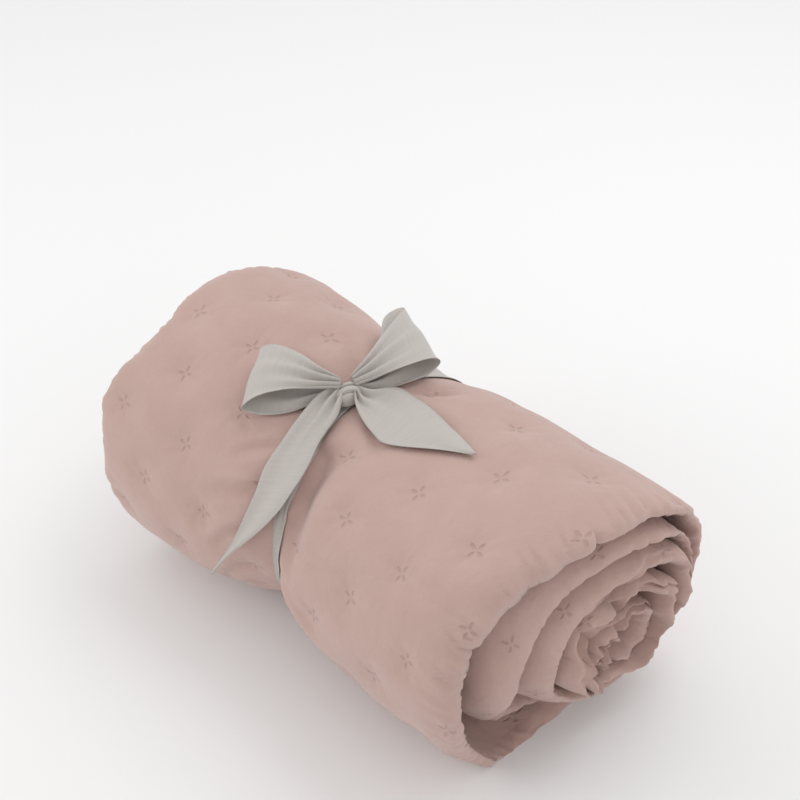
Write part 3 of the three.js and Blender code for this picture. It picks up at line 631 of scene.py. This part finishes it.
def turns_relief(x, turn, length, faces, run):
    """Lift off the face and slide along the roll, in millimetres."""
    strip_length = length
    length = length + PACKED_MORE * np.clip(turn - PACKED_FROM, 0, 2)
    depth_in = blend(CRUMPLE_FROM, CRUMPLE_TO, turn)
    out = blend(60, 150, np.abs(x))
    rim = np.where(x > 0, NEAR_RIM, FAR_RIM)
    side = np.sign(x)
    to_rim = np.abs(rim - x)
    wobble = (6.5 * ripples(length / 26, x / 50, 41)
              + 2.4 * ripples(length / 12, x / 30, 42)) * depth_in
    pinch = 0.9 - 2.0 * np.sqrt(np.abs(ripples(length / 17, x / 40, 43)) + .01)
    lift = out * (wobble - faces * (2.6 * depth_in + 0.5) * pinch)
    # Broad folds, then shorter ones that come and go along the strip, push its rim sideways.
    some = np.clip(0.55 + 0.9 * ripples(length / 47, 0 * x, 48), 0, 1.3)
    push = (9 * ripples(length / 33, 0 * x, 205)
            + (5 + 6 * some) * lobes(length + 0.4 * x, 23, 45)
            + 3 * ripples(length / 10, 0 * x, 49)) * depth_in
    push = push + np.where(x > 0, curve(NEAR_RIM_OUT, turn), 0)
    # Four layers end here as two folded edges, so a groove opens and shuts along the rim.
    between = 0.12 + 0.35 * ripples(length / 33, 0 * x, 46)
    open_up = np.clip(0.7 + 0.9 * ripples(length / 21, 0 * x, 47), 0, 1.4)
    open_up = open_up * blend(2.3, 2.8, turn)
    # The lower right of the centre sags down on to the turn below it.
    lower = (angle_at(x, turn) % 360 - 305) / 38
    sag = (3 + 7 * (turn - 2.5)) * depth_in * np.exp(-lower ** 2) * blend(150, 195, x)
    lift = lift + sag
    groove = -11 * open_up * np.exp(-((faces - between) / 0.2) ** 2)
    groove = groove * np.exp(-(to_rim / 14) ** 2)
    fine_lift, scallop = rim_wrinkles(x, length, rim, faces, 51)
    tuft = np.sign(faces) * np.abs(faces) ** 2 * swelling(run, length, 3.5)
    slide = scallop + push * np.exp(-(to_rim / 30) ** 2) + groove
    lift = lift + fine_lift * (0.8 - 0.4 * depth_in) + tuft * (1 - 0.5 * depth_in)
    # The first of it has the cover's relief, so that the strip goes on without a step.
    cover_lift, cover_slide = cover_relief(x, turn, strip_length, faces, run)
    own = blend(1.09, 1.2, turn)
    return (cover_lift + own * (lift - cover_lift),
            cover_slide + own * (side * slide - cover_slide))


sample = np.linspace(1.2, TURNS, 900)
sample = turns_relief(np.full(900, 205.0), sample, length_at(sample), np.ones(900), sample * 0)
print("inner turns lift up to", sample[0].max().round(1), "mm and slide out up to",
      sample[1].max().round(1), "mm")

# %% [markdown]
# One function turns a grid of points into a mesh and rides it on the roll's body. Neighbours
# in the grid become the corners of a face, which is the quickest way to a large even mesh. A
# map tells a pattern where it is on the cloth: the quilt has one in real lengths for the
# weave, and one in tuft steps for the stitched petals.

# %% Cloth meshes from grids
def cloth_mesh(name, points, maps):
    """A smooth mesh from a grid of points. Maps are named pairs of places on the cloth."""
    rows, columns = points.shape[:2]
    row, column = np.meshgrid(np.arange(rows - 1), np.arange(columns - 1), indexing="ij")
    here = row * columns + column
    above = (row + 1) * columns + column
    quads = np.stack([here, here + 1, above + 1, above], -1).reshape(-1, 4)
    mesh = bpy.data.meshes.new(name)
    mesh.from_pydata(points.reshape(-1, 3).tolist(), [], quads.tolist())
    for map_name, (u, v) in maps.items():
        layer = mesh.uv_layers.new(name=map_name)
        pair = np.stack([np.broadcast_to(part, (rows, columns)).ravel() for part in (u, v)], -1)
        layer.data.foreach_set("uv", pair[quads.ravel()].astype(np.float32).ravel())
    mesh.polygons.foreach_set("use_smooth", [True] * len(quads))
    mesh.update()
    piece = bpy.data.objects.new(name, mesh)
    scene.collection.objects.link(piece)
    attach(piece, "root")
    print(name, len(quads) * 2, "triangles")
    return piece


def quilt_maps(run, length):
    """The quilt's two maps: metres along and round, and tuft steps and rows."""
    return {"weave": (run / 1000, length / 1000), "tufts": tuft_place(run, length)}


at_tie = [round(float(k), 2) for k in tuft_place(0.0, 300.0)]
print("under the tie, 300 mm round, is tuft step and row", at_tie)

# %% [markdown]
# The cover is what the eye rests on: a little more than one turn, from the free end on the
# floor, over the top and down again under itself, with both of its rims. It has a station
# about every 2 mm, close enough for the smallest wrinkles.

# %% The cover
def strip_lean(turns):
    """How far the near rim's crest leans at each turn."""
    return np.clip(curve(RIM_LEAN, angle_at(NEAR_RIM, turns) % 360), -MOST_LEAN, MOST_LEAN)


cover_turns = np.concatenate([np.linspace(0, 0.02, 7)[:-1], np.linspace(0.02, 1.08, 430)])
near_x, near_face = rim_steps(112.0, NEAR_RIM, strip_lean(cover_turns), (10, 10))
far_x, far_face = rim_steps(-140.0, FAR_RIM, 0 * cover_turns, (10, 9))
share = np.linspace(0, 1, 152)[1:-1]
face_x = far_x[:, -1:] + (near_x[:, -1:] - far_x[:, -1:]) * share
cover_x = np.concatenate([far_x, face_x, near_x[:, ::-1]], 1)
cover_face = np.concatenate([far_face, 1 + 0 * face_x, near_face[:, ::-1]], 1)
cover_points, length, run = sweep(cover_turns, cover_x, cover_face, cover_relief,
                                  cover_x.shape[1] // 2)
cover = cloth_mesh("quilt_cover", cover_points, quilt_maps(run, length))

# %% [markdown]
# The rest of the strip shows at the two ends only, so the pressed middle, which nobody sees,
# isn't made: each inner piece goes 6 to 9 cm in from its rim. Both start just before the
# cover ends, so that no gap shows at the join. The near end has more and closer stations,
# because its crumpled centre faces the camera.

# %% The inner turns at the near end
JOIN_TURN = 1.075
near_steps = np.linspace(JOIN_TURN, TURNS, 900)
rim_x, rim_face = rim_steps(118.0, NEAR_RIM, strip_lean(near_steps), (8, 20))
back_x = rim_x[:, -1:] + (118.0 - rim_x[:, -1:]) * np.linspace(0, 1, 14)[1:]
near_x = np.concatenate([rim_x, back_x], 1)[:, ::-1]
near_face = np.concatenate([rim_face, 1 + 0 * back_x], 1)[:, ::-1]
points, length, run = sweep(near_steps, near_x, near_face, turns_relief, 0)
near_turns = cloth_mesh("quilt_near_turns", points, quilt_maps(run, length))

# %% The inner turns at the far end
far_steps = np.linspace(JOIN_TURN, TURNS, 560)
rim_x, rim_face = rim_steps(-130.0, FAR_RIM, 0 * far_steps, (6, 14))
back_x = rim_x[:, -1:] + (-130.0 - rim_x[:, -1:]) * np.linspace(0, 1, 8)[1:]
far_x = np.concatenate([rim_x, back_x], 1)
far_face = np.concatenate([rim_face, 1 + 0 * back_x], 1)
points, length, run = sweep(far_steps, far_x, far_face, turns_relief, -1)
far_turns = cloth_mesh("quilt_far_turns", points, quilt_maps(run, length))
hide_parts("quilt")

# %% [markdown]
# The ribbon is a strip of thin taffeta, tied in a bow. A curve with a flat bevel would twist
# as it likes. So its tails and loops are drawn by their two edges, each given as a place
# along the roll, an angle round it and a lift off the cloth, row after row from the knot.

# %% Ribbon tables: x and angle of both edges, and the lift
LEFT_TAIL = [(-28, 97, -22, 98, 7), (-33, 105, -15, 103, 6), (-33, 114, -10, 108, 4),
             (-31, 127, -6, 119, 3), (-31, 138, 0, 130, 3), (-28, 150, 0, 141, 3),
             (-31, 165, -4, 152, 4), (-37.5, 176, -18, 166.5, 7), (-56, 191.5, -53, 190.5, 12)]
RIGHT_TAIL = [(-14, 97, -19, 94, 7), (-3, 101, -8, 91, 6), (11, 104, 1, 83, 4),
              (26, 106, 20, 83.5, 3), (38, 107, 38, 85, 3), (53, 104.5, 70, 89, 3),
              (80, 98, 94, 91, 3.5), (102, 92.7, 104, 92, 4)]
LEFT_LOOP = [(-27, 97, -24, 99, 5), (-42, 98, -34, 108, 3), (-58, 100, -43, 116, 3),
             (-76, 102, -56, 122, 4), (-87, 104, -67, 125, 8), (-88, 104.5, -68, 125, 14),
             (-78, 102, -60, 120, 20), (-60, 100, -48, 114, 21), (-44, 99, -35, 107, 17),
             (-28, 97, -24, 99, 11)]
RIGHT_LOOP = [(-25, 94, -18, 95, 5), (-26, 86, -6, 89, 5), (-40, 74, 0, 79, 5),
              (-53, 66, 2, 69, 7), (-55, 60, 2, 64, 12), (-51, 58.5, 3, 63.5, 18),
              (-43, 65, 5, 70, 23), (-35, 74, 2, 80, 22), (-27, 86, -7, 89, 17),
              (-25, 94, -18, 95, 11)]
# This loop's first edge also stands up by this much, because the loop is open towards us.
RIGHT_LOOP_EDGE = [0, 4, 10, 15, 16, 15, 12, 9, 4, 0]
print("rows in the tails and loops:", [len(rows) for rows in (LEFT_TAIL, RIGHT_TAIL, LEFT_LOOP,
                                                              RIGHT_LOOP)])

# %% A point over the roll
def over_roll(x, angle, lift):
    """A point in metres over the roll as it would be without its crease and tufts."""
    turn = turn_at(x, angle)
    y, z = middle(x, turn, False)
    ny, nz = outward(x, turn, False)
    out = THICKNESS / 2 + lift
    return place(x, y + ny * out, z + nz * out, turn)


knot_place = over_roll(np.array([-20.0]), np.array([97.0]), 0.0)[0]
print("the knot sits", knot_place[2].round(3), "m over the floor")

# %% [markdown]
# Pleats start at the knot, where the ribbon is squeezed, and fan out from it. They are waves
# across the strip that die out along it. The strip's length is measured on its middle line,
# so that its woven ribs are the same distance apart everywhere.

# %% A strip of ribbon between two edges
RIBBON_WIDE = 0.05
print("ribbon", RIBBON_WIDE * 1000, "mm wide")


def ribbon_strip(name, rows, pleats, edge=None, steps=14, across=28):
    """A tail or loop. pleats gives the lift of small folds from the shares along and across."""
    numbered = np.arange(len(rows))
    along = np.linspace(0, len(rows) - 1, (len(rows) - 1) * steps + 1)
    x1, a1, x2, a2, lift = (curve(np.c_[numbered, np.array(rows)[:, k]], along)[:, None]
                            for k in range(5))
    raised = 0 if edge is None else curve(np.c_[numbered, edge], along)[:, None]
    v = np.linspace(0, 1, across + 1)[None, :]
    fold = pleats(along[:, None] / along[-1], v)
    points = over_roll(x1 + (x2 - x1) * v, a1 + (a2 - a1) * v, lift + raised * (1 - v) + fold)
    middle_line = points[:, across // 2]
    gone = np.concatenate([[0], np.cumsum(np.linalg.norm(np.diff(middle_line, axis=0), axis=1))])
    print(name, "is", round(gone[-1] * 1000), "mm long")
    return cloth_mesh(name, points, {"ribbon": (v * RIBBON_WIDE, gone[:, None])})


# %% The tails and loops
def from_knot(share, reach):
    """1 at the knot, and less and less along the strip."""
    return np.exp(-(share / reach) ** 2)


def tail_pleats(share, v):
    """Two and a half pleats at the knot, and one long slow fold."""
    near = from_knot(share, .3)
    return near * 3.0 * np.sin(5 * np.pi * v + .6) + .8 * np.sin(2.2 * np.pi * v + 4 * share)


def loop_pleats(share, v):
    """Three pleats where the loop leaves the knot and where it comes back."""
    near = from_knot(share, .22) + from_knot(1 - share, .25)
    return near * 3.4 * np.sin(6 * np.pi * v) + 0.9 * np.sin(3 * np.pi * v + 5 * share)


ribbons = [
    ribbon_strip("ribbon_left_tail", LEFT_TAIL, tail_pleats),
    ribbon_strip("ribbon_right_tail", RIGHT_TAIL, tail_pleats),
    ribbon_strip("ribbon_left_loop", LEFT_LOOP, loop_pleats),
    ribbon_strip("ribbon_right_loop", RIGHT_LOOP, loop_pleats, RIGHT_LOOP_EDGE),
]

# %% [markdown]
# The band round the waist lies on the cloth, so it follows the crease and the tufts under it.
# Where it is pulled tight it is gathered to less than half of its width. A real gathered
# ribbon doubles back on itself, and so does this one: across, it runs in a flat S.

# %% A point on the cover, and the band's folds
BAND_HALF = [(0, 13), (55, 14), (80, 13), (95, 9), (127, 6), (153, 4.5), (176, 5), (205, 6),
             (235, 8), (270, 11), (315, 13), (360, 13)]
# Rows of the share of the cut width, and where it comes to lie across, or its lift.
S_FOLD = [(0, -1), (.4, .42), (.46, .5), (.52, .4), (.62, -.35), (.68, -.45), (.74, -.35), (1, 1)]
S_LIFT = [(0, .3), (.4, .35), (.46, .8), (.52, 1.2), (.62, 1.2), (.68, 1.7), (.74, 2.1), (1, .9)]


def on_cover(x, turn, lift):
    """A point in metres on the cover's outer face, its crease and tufts included."""
    length = length_at(turn)
    y, z = middle(x, turn)
    ny, nz = outward(x, turn)
    out = THICKNESS / 2 + lift + np.minimum(cover_relief(x, turn, length, 1 + 0 * x, x)[0], 2)
    return place(x, y + ny * out, z + nz * out, turn)


print("the band is gathered to", 2 * min(row[1] for row in BAND_HALF), "mm at its narrowest")

# %% The band round the waist
band_turn = np.linspace(0.012, 0.94, 260)[:, None]
band_angle = angle_at(-10 + 0 * band_turn, band_turn) % 360
cut = np.linspace(0, 1, 61)[None, :]
v = curve(S_FOLD, cut)
band_x = curve(CREASE_AT, band_angle) + curve(BAND_HALF, band_angle) * v
folds = 0.6 + 0.9 * curve(S_LIFT, cut) + 0.2 * np.cos(9 * v + 2 * np.sin(band_turn * 20))
slack = 1.6 * blend(.8, .92, band_turn) + .5 * (1 - blend(.02, .1, band_turn))
band_points = on_cover(band_x, band_turn + 0 * v, folds + slack)
# Both ends go on under the roll, where the free end hides them.
past_end = band_points[:1] + np.array([0, 0.017, 0])
band_points = np.concatenate([past_end, band_points, past_end])
gone = np.linspace(0, .65, len(band_points))[:, None]
band = cloth_mesh("ribbon_band", band_points, {"ribbon": (cut * RIBBON_WIDE, gone)})

# %% [markdown]
# The knot is the ribbon wrapped over itself. Tying one by simulation is hard to steer, and no
# more than its top shows. So it is a small dome with deep slanting grooves, each the gap
# between two wraps. A square grid is rounded into a disc first, so it has no pole.

# %% The knot
KNOT = {"x": -20, "angle": 97, "long": 9.5, "round": 5.6, "lift": 11}
u, w = np.meshgrid(np.linspace(-1, 1, 61), np.linspace(-1, 1, 61), indexing="ij")
ku, kw = u * np.sqrt(1 - w * w / 2), w * np.sqrt(1 - u * u / 2)
dome = np.sqrt(np.clip(1 - ku**2 - kw**2, 0, 1))
strand = 1.9 * (ku * .75 + kw * .6) + .15
wraps = 1 - 4.2 * np.exp(-((strand - np.round(strand)) / .14) ** 2) * np.sqrt(dome)
knot_points = over_roll(KNOT["x"] + KNOT["long"] * ku, KNOT["angle"] + KNOT["round"] * kw,
                        1 + (KNOT["lift"] - 1 + wraps) * dome)
knot = cloth_mesh("ribbon_knot", knot_points, {"ribbon": (.02 * ku, .03 * kw)})

# %% [markdown]
# Ribbon is thin, but not a surface without a thickness: its cut edges catch the light. A
# solidify modifier gives it half a millimetre. Then the pieces are joined into the one ribbon
# that was tied. The knot sits on the band with its edge down and stays as it is.

# %% One ribbon
RIBBON_THICK = 0.0005
for piece in ribbons + [band]:
    solid = piece.modifiers.new("thickness", "SOLIDIFY")
    solid.thickness = RIBBON_THICK
    solid.offset = 0
bpy.ops.object.select_all(action="DESELECT")
for piece in ribbons + [band]:
    bpy.context.view_layer.objects.active = piece
    piece.select_set(True)
    bpy.ops.object.modifier_apply(modifier="thickness")
knot.select_set(True)
bpy.context.view_layer.objects.active = band
bpy.ops.object.join()
ribbon = bpy.context.object
ribbon.name = "ribbon_bow"
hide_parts("ribbon")
print("ribbon_bow", len(ribbon.data.polygons), "faces")

# %% [markdown]
# Every finish is a small tree of nodes. One function adds a node, sets its properties and
# fills its sockets, each with a value or with the output of another node. A tree then reads
# like a list, in the order in which the node editor shows it from left to right.

# %% A node with its settings and links
def node(tree, kind, settings=None, **sockets):
    """Adds a node. Sockets go by name, with _ for a space, or by their place as _0, _1, _2."""
    made = tree.nodes.new(kind)
    for key, value in (settings or {}).items():
        setattr(made, key, value)
    for key, value in sockets.items():
        by_place = key[0] == "_" and key[1:].isdigit()
        socket = made.inputs[int(key[1:]) if by_place else key.replace("_", " ")]
        if isinstance(value, bpy.types.NodeSocket):
            tree.links.new(value, socket)
        else:
            socket.default_value = value
    return made


def new_material(name):
    """An empty material, and its tree of nodes."""
    made = bpy.data.materials.new(name)
    made.use_nodes = True
    made.node_tree.nodes.clear()
    return made, made.node_tree


percale, tree = new_material("cotton_percale")
print("new material", percale.name)

# %% [markdown]
# The quilt is covered in cotton percale, a plain weave with a dry, matt face. Each tuft has
# four small stitched petals, where thread presses the cloth in. They could be modelled, but
# they are a few millimetres long and there are hundreds. So they are drawn in the tuft map:
# folding a cell along its middle lines and its diagonal turns one soft ellipse into four
# petals. Each tuft is turned a little, by chance, because each was stitched by hand.

# %% Percale: the stitched petals
# Millimetres: from the tuft to a petal's middle, and the half axes of the ellipse, which
# fades out at PETAL_FADE times their square. A petal is about 6 mm long and 3 mm wide.
PETAL_OUT, PETAL_LONG, PETAL_WIDE, PETAL_FADE = 4.0, 1.9, 0.8, 2.8
# A tuft step counts as 70 mm here, and a tuft is turned by up to 0.3 radians either way.
STEP_LONG, MOST_TURNED = 70, 0.3
tuft_map = node(tree, "ShaderNodeUVMap", {"uv_map": "tufts"})
petal_sets = []
for shift in (0.5, 1.0):
    moved = node(tree, "ShaderNodeVectorMath", {"operation": "ADD"},
                 _0=tuft_map.outputs[0], _1=(shift, shift, 0))
    cell = node(tree, "ShaderNodeVectorMath", {"operation": "FLOOR"}, _0=moved.outputs[0])
    part = node(tree, "ShaderNodeVectorMath", {"operation": "FRACTION"}, _0=moved.outputs[0])
    centred = node(tree, "ShaderNodeVectorMath", {"operation": "SUBTRACT"},
                   _0=part.outputs[0], _1=(.5, .5, 0))
    chance = node(tree, "ShaderNodeTexWhiteNoise", {"noise_dimensions": "2D"},
                  Vector=cell.outputs[0])
    turned = node(tree, "ShaderNodeMath", {"operation": "MULTIPLY_ADD"},
                  _0=chance.outputs[0], _1=2 * MOST_TURNED, _2=-MOST_TURNED)
    local = node(tree, "ShaderNodeVectorMath", {"operation": "MULTIPLY"},
                 _0=centred.outputs[0], _1=(STEP_LONG, 2 * TUFT_ROW, 0))
    spun = node(tree, "ShaderNodeVectorRotate", {"rotation_type": "Z_AXIS"},
                Vector=local.outputs[0], Angle=turned.outputs[0])
    folded = node(tree, "ShaderNodeVectorMath", {"operation": "ABSOLUTE"}, _0=spun.outputs[0])
    axes = node(tree, "ShaderNodeSeparateXYZ", None, Vector=folded.outputs[0])
    long_way = node(tree, "ShaderNodeMath", {"operation": "MAXIMUM"},
                    _0=axes.outputs[0], _1=axes.outputs[1])
    short_way = node(tree, "ShaderNodeMath", {"operation": "MINIMUM"},
                     _0=axes.outputs[0], _1=axes.outputs[1])
    a = node(tree, "ShaderNodeMath", {"operation": "MULTIPLY_ADD"},
             _0=long_way.outputs[0], _1=1 / PETAL_LONG, _2=-PETAL_OUT / PETAL_LONG)
    b = node(tree, "ShaderNodeMath", {"operation": "MULTIPLY"},
             _0=short_way.outputs[0], _1=1 / PETAL_WIDE)
    aa = node(tree, "ShaderNodeMath", {"operation": "MULTIPLY"}, _0=a.outputs[0], _1=a.outputs[0])
    far = node(tree, "ShaderNodeMath", {"operation": "MULTIPLY_ADD"},
               _0=b.outputs[0], _1=b.outputs[0], _2=aa.outputs[0])
    petal = node(tree, "ShaderNodeMapRange", {"interpolation_type": "SMOOTHSTEP"},
                 Value=far.outputs[0], From_Min=0.0, From_Max=PETAL_FADE, To_Min=1.0, To_Max=0.0)
    petal_sets.append(petal.outputs[0])
petals = node(tree, "ShaderNodeMath", {"operation": "MAXIMUM"},
              _0=petal_sets[0], _1=petal_sets[1])
print("petals", len(tree.nodes), "nodes")

# %% [markdown]
# Percale has about 30 threads to the centimetre, each 0.3 mm from the next. That is finer
# than one point of the picture, so the weave is drawn at 0.9 mm. Two crossed sine waves give
# the over and under of a plain weave. Washing leaves soft wrinkles 5 to 10 mm apart, and
# these the eye does see, so they are noise of that size with a much deeper relief.

# %% Percale: weave and wrinkles
THREADS_SHOWN = 0.0009
WRINKLES_PER_M, MOTTLES_PER_M = 150.0, 45.0
weave_map = node(tree, "ShaderNodeUVMap", {"uv_map": "weave"})
threads = node(tree, "ShaderNodeVectorMath", {"operation": "SCALE"},
               _0=weave_map.outputs[0], Scale=2 * math.pi / THREADS_SHOWN)
thread_axes = node(tree, "ShaderNodeSeparateXYZ", None, Vector=threads.outputs[0])
warp = node(tree, "ShaderNodeMath", {"operation": "SINE"}, _0=thread_axes.outputs[0])
weft = node(tree, "ShaderNodeMath", {"operation": "SINE"}, _0=thread_axes.outputs[1])
weave = node(tree, "ShaderNodeMath", {"operation": "MULTIPLY"},
             _0=warp.outputs[0], _1=weft.outputs[0])
wrinkles = node(tree, "ShaderNodeTexNoise", None, Vector=weave_map.outputs[0],
                Scale=WRINKLES_PER_M, Detail=3.0, Roughness=0.55, Distortion=0.6)
mottle = node(tree, "ShaderNodeTexNoise", None, Vector=weave_map.outputs[0],
              Scale=MOTTLES_PER_M, Detail=4.0)
print("weave drawn at", THREADS_SHOWN * 1000, "mm, wrinkles at",
      round(1000 / WRINKLES_PER_M, 1), "mm")

# %% [markdown]
# Matt cotton gives the eye almost no highlight, only a faint pale bloom where the cloth turns
# away, which is its fibre ends. That is a high roughness, a low specular level and a little
# sheen. The dye is dusty pink and a touch uneven. The stitched petals are painted darker, as
# painted shade for their small folds, which shade themselves. Relief too fine for the mesh is
# bump: weave, wrinkles, and the petals, whose bump is turned round so that their threads press
# into the cloth.

# %% Percale: colour, bump and shader
tone = node(tree, "ShaderNodeMix", {"data_type": "RGBA"}, Factor=mottle.outputs[0],
            _6=colour("bb9c93"), _7=colour("c4a89f"))
# Painted shade: the petals' colour is pulled a fifth of the way to a dark rose, standing in for
# the shade in their small folds.
painted_petal_shade = node(tree, "ShaderNodeMath", {"operation": "MULTIPLY"}, _0=petals.outputs[0], _1=0.2)
dark = node(tree, "ShaderNodeMix", {"data_type": "RGBA"}, Factor=painted_petal_shade.outputs[0],
            _6=tone.outputs[2], _7=colour("8d6a62"))
woven = node(tree, "ShaderNodeBump", None, Height=weave.outputs[0],
             Strength=0.12, Distance=0.0003)
wrinkled = node(tree, "ShaderNodeBump", None, Height=wrinkles.outputs[0],
                Strength=0.45, Distance=0.0016, Normal=woven.outputs[0])
tufted = node(tree, "ShaderNodeBump", {"invert": True}, Height=petals.outputs[0],
              Strength=0.7, Distance=0.001, Normal=wrinkled.outputs[0])
cloth = node(tree, "ShaderNodeBsdfPrincipled", None, Base_Color=dark.outputs[2],
             Roughness=0.85, IOR=1.5, Specular_IOR_Level=0.25,
             Sheen_Weight=0.25, Sheen_Roughness=0.5, Normal=tufted.outputs[0])
node(tree, "ShaderNodeOutputMaterial", None, Surface=cloth.outputs[0])
print("cotton_percale", len(tree.nodes), "nodes")

# %% Percale goes on the quilt's three pieces
for piece in (cover, near_turns, far_turns):
    piece.data.materials.append(percale)
    print(piece.name, "in percale")

# %% [markdown]
# The ribbon is taffeta, woven from fine, tight threads with thicker ones across, which stand
# up as ribs. It gives the eye a crisp, low sheen, and the ribs catch the light as thin lines.
# They are about 0.5 mm apart, drawn at 1.2 mm so that they show. Not all ribs are alike, and
# some stand out as faint streaks: noise that is stretched across the ribbon.

# %% Taffeta: ribs and streaks
RIBS_SHOWN = 0.0012
taffeta, tree = new_material("ribbed_taffeta")
ribbon_map = node(tree, "ShaderNodeUVMap", {"uv_map": "ribbon"})
ribbon_axes = node(tree, "ShaderNodeSeparateXYZ", None, Vector=ribbon_map.outputs[0])
rib_turns = node(tree, "ShaderNodeMath", {"operation": "MULTIPLY"},
                 _0=ribbon_axes.outputs[1], _1=2 * math.pi / RIBS_SHOWN)
ribs = node(tree, "ShaderNodeMath", {"operation": "SINE"}, _0=rib_turns.outputs[0])
streak = node(tree, "ShaderNodeMapping", None, Vector=ribbon_map.outputs[0], Scale=(30, 700, 1))
streaks = node(tree, "ShaderNodeTexNoise", None, Vector=streak.outputs[0], Scale=1.0, Detail=2.0)
print("ribs drawn at", RIBS_SHOWN * 1000, "mm")

# %% Taffeta: colour, bump and shader
tone = node(tree, "ShaderNodeMix", {"data_type": "RGBA"}, Factor=streaks.outputs[0],
            _6=colour("b3aca6"), _7=colour("c3bdb8"))
ribbed = node(tree, "ShaderNodeBump", None, Height=ribs.outputs[0],
              Strength=0.15, Distance=0.0003)
streaked = node(tree, "ShaderNodeBump", None, Height=streaks.outputs[0],
                Strength=0.2, Distance=0.0006, Normal=ribbed.outputs[0])
silk = node(tree, "ShaderNodeBsdfPrincipled", None, Base_Color=tone.outputs[2],
            Roughness=0.5, IOR=1.5, Specular_IOR_Level=0.35,
            Sheen_Weight=0.2, Normal=streaked.outputs[0])
node(tree, "ShaderNodeOutputMaterial", None, Surface=silk.outputs[0])
print("ribbed_taffeta", len(tree.nodes), "nodes")

# %% Taffeta goes on the ribbon
ribbon.data.materials.clear()
ribbon.data.materials.append(taffeta)
print(ribbon.name, "in taffeta")

# %% [markdown]
# Studio paper is matt and nearly white. It gives the eye nothing but the soft shadow that
# sets the roll down, so a plain rough colour without a pattern does for it.

# %% The floor's paper
paper, tree = new_material("white_paper")
matt = node(tree, "ShaderNodeBsdfPrincipled", None, Base_Color=colour("f4f4f4"), Roughness=0.9)
node(tree, "ShaderNodeOutputMaterial", None, Surface=matt.outputs[0])
floor.data.materials.append(paper)
print("white_paper", len(tree.nodes), "nodes")
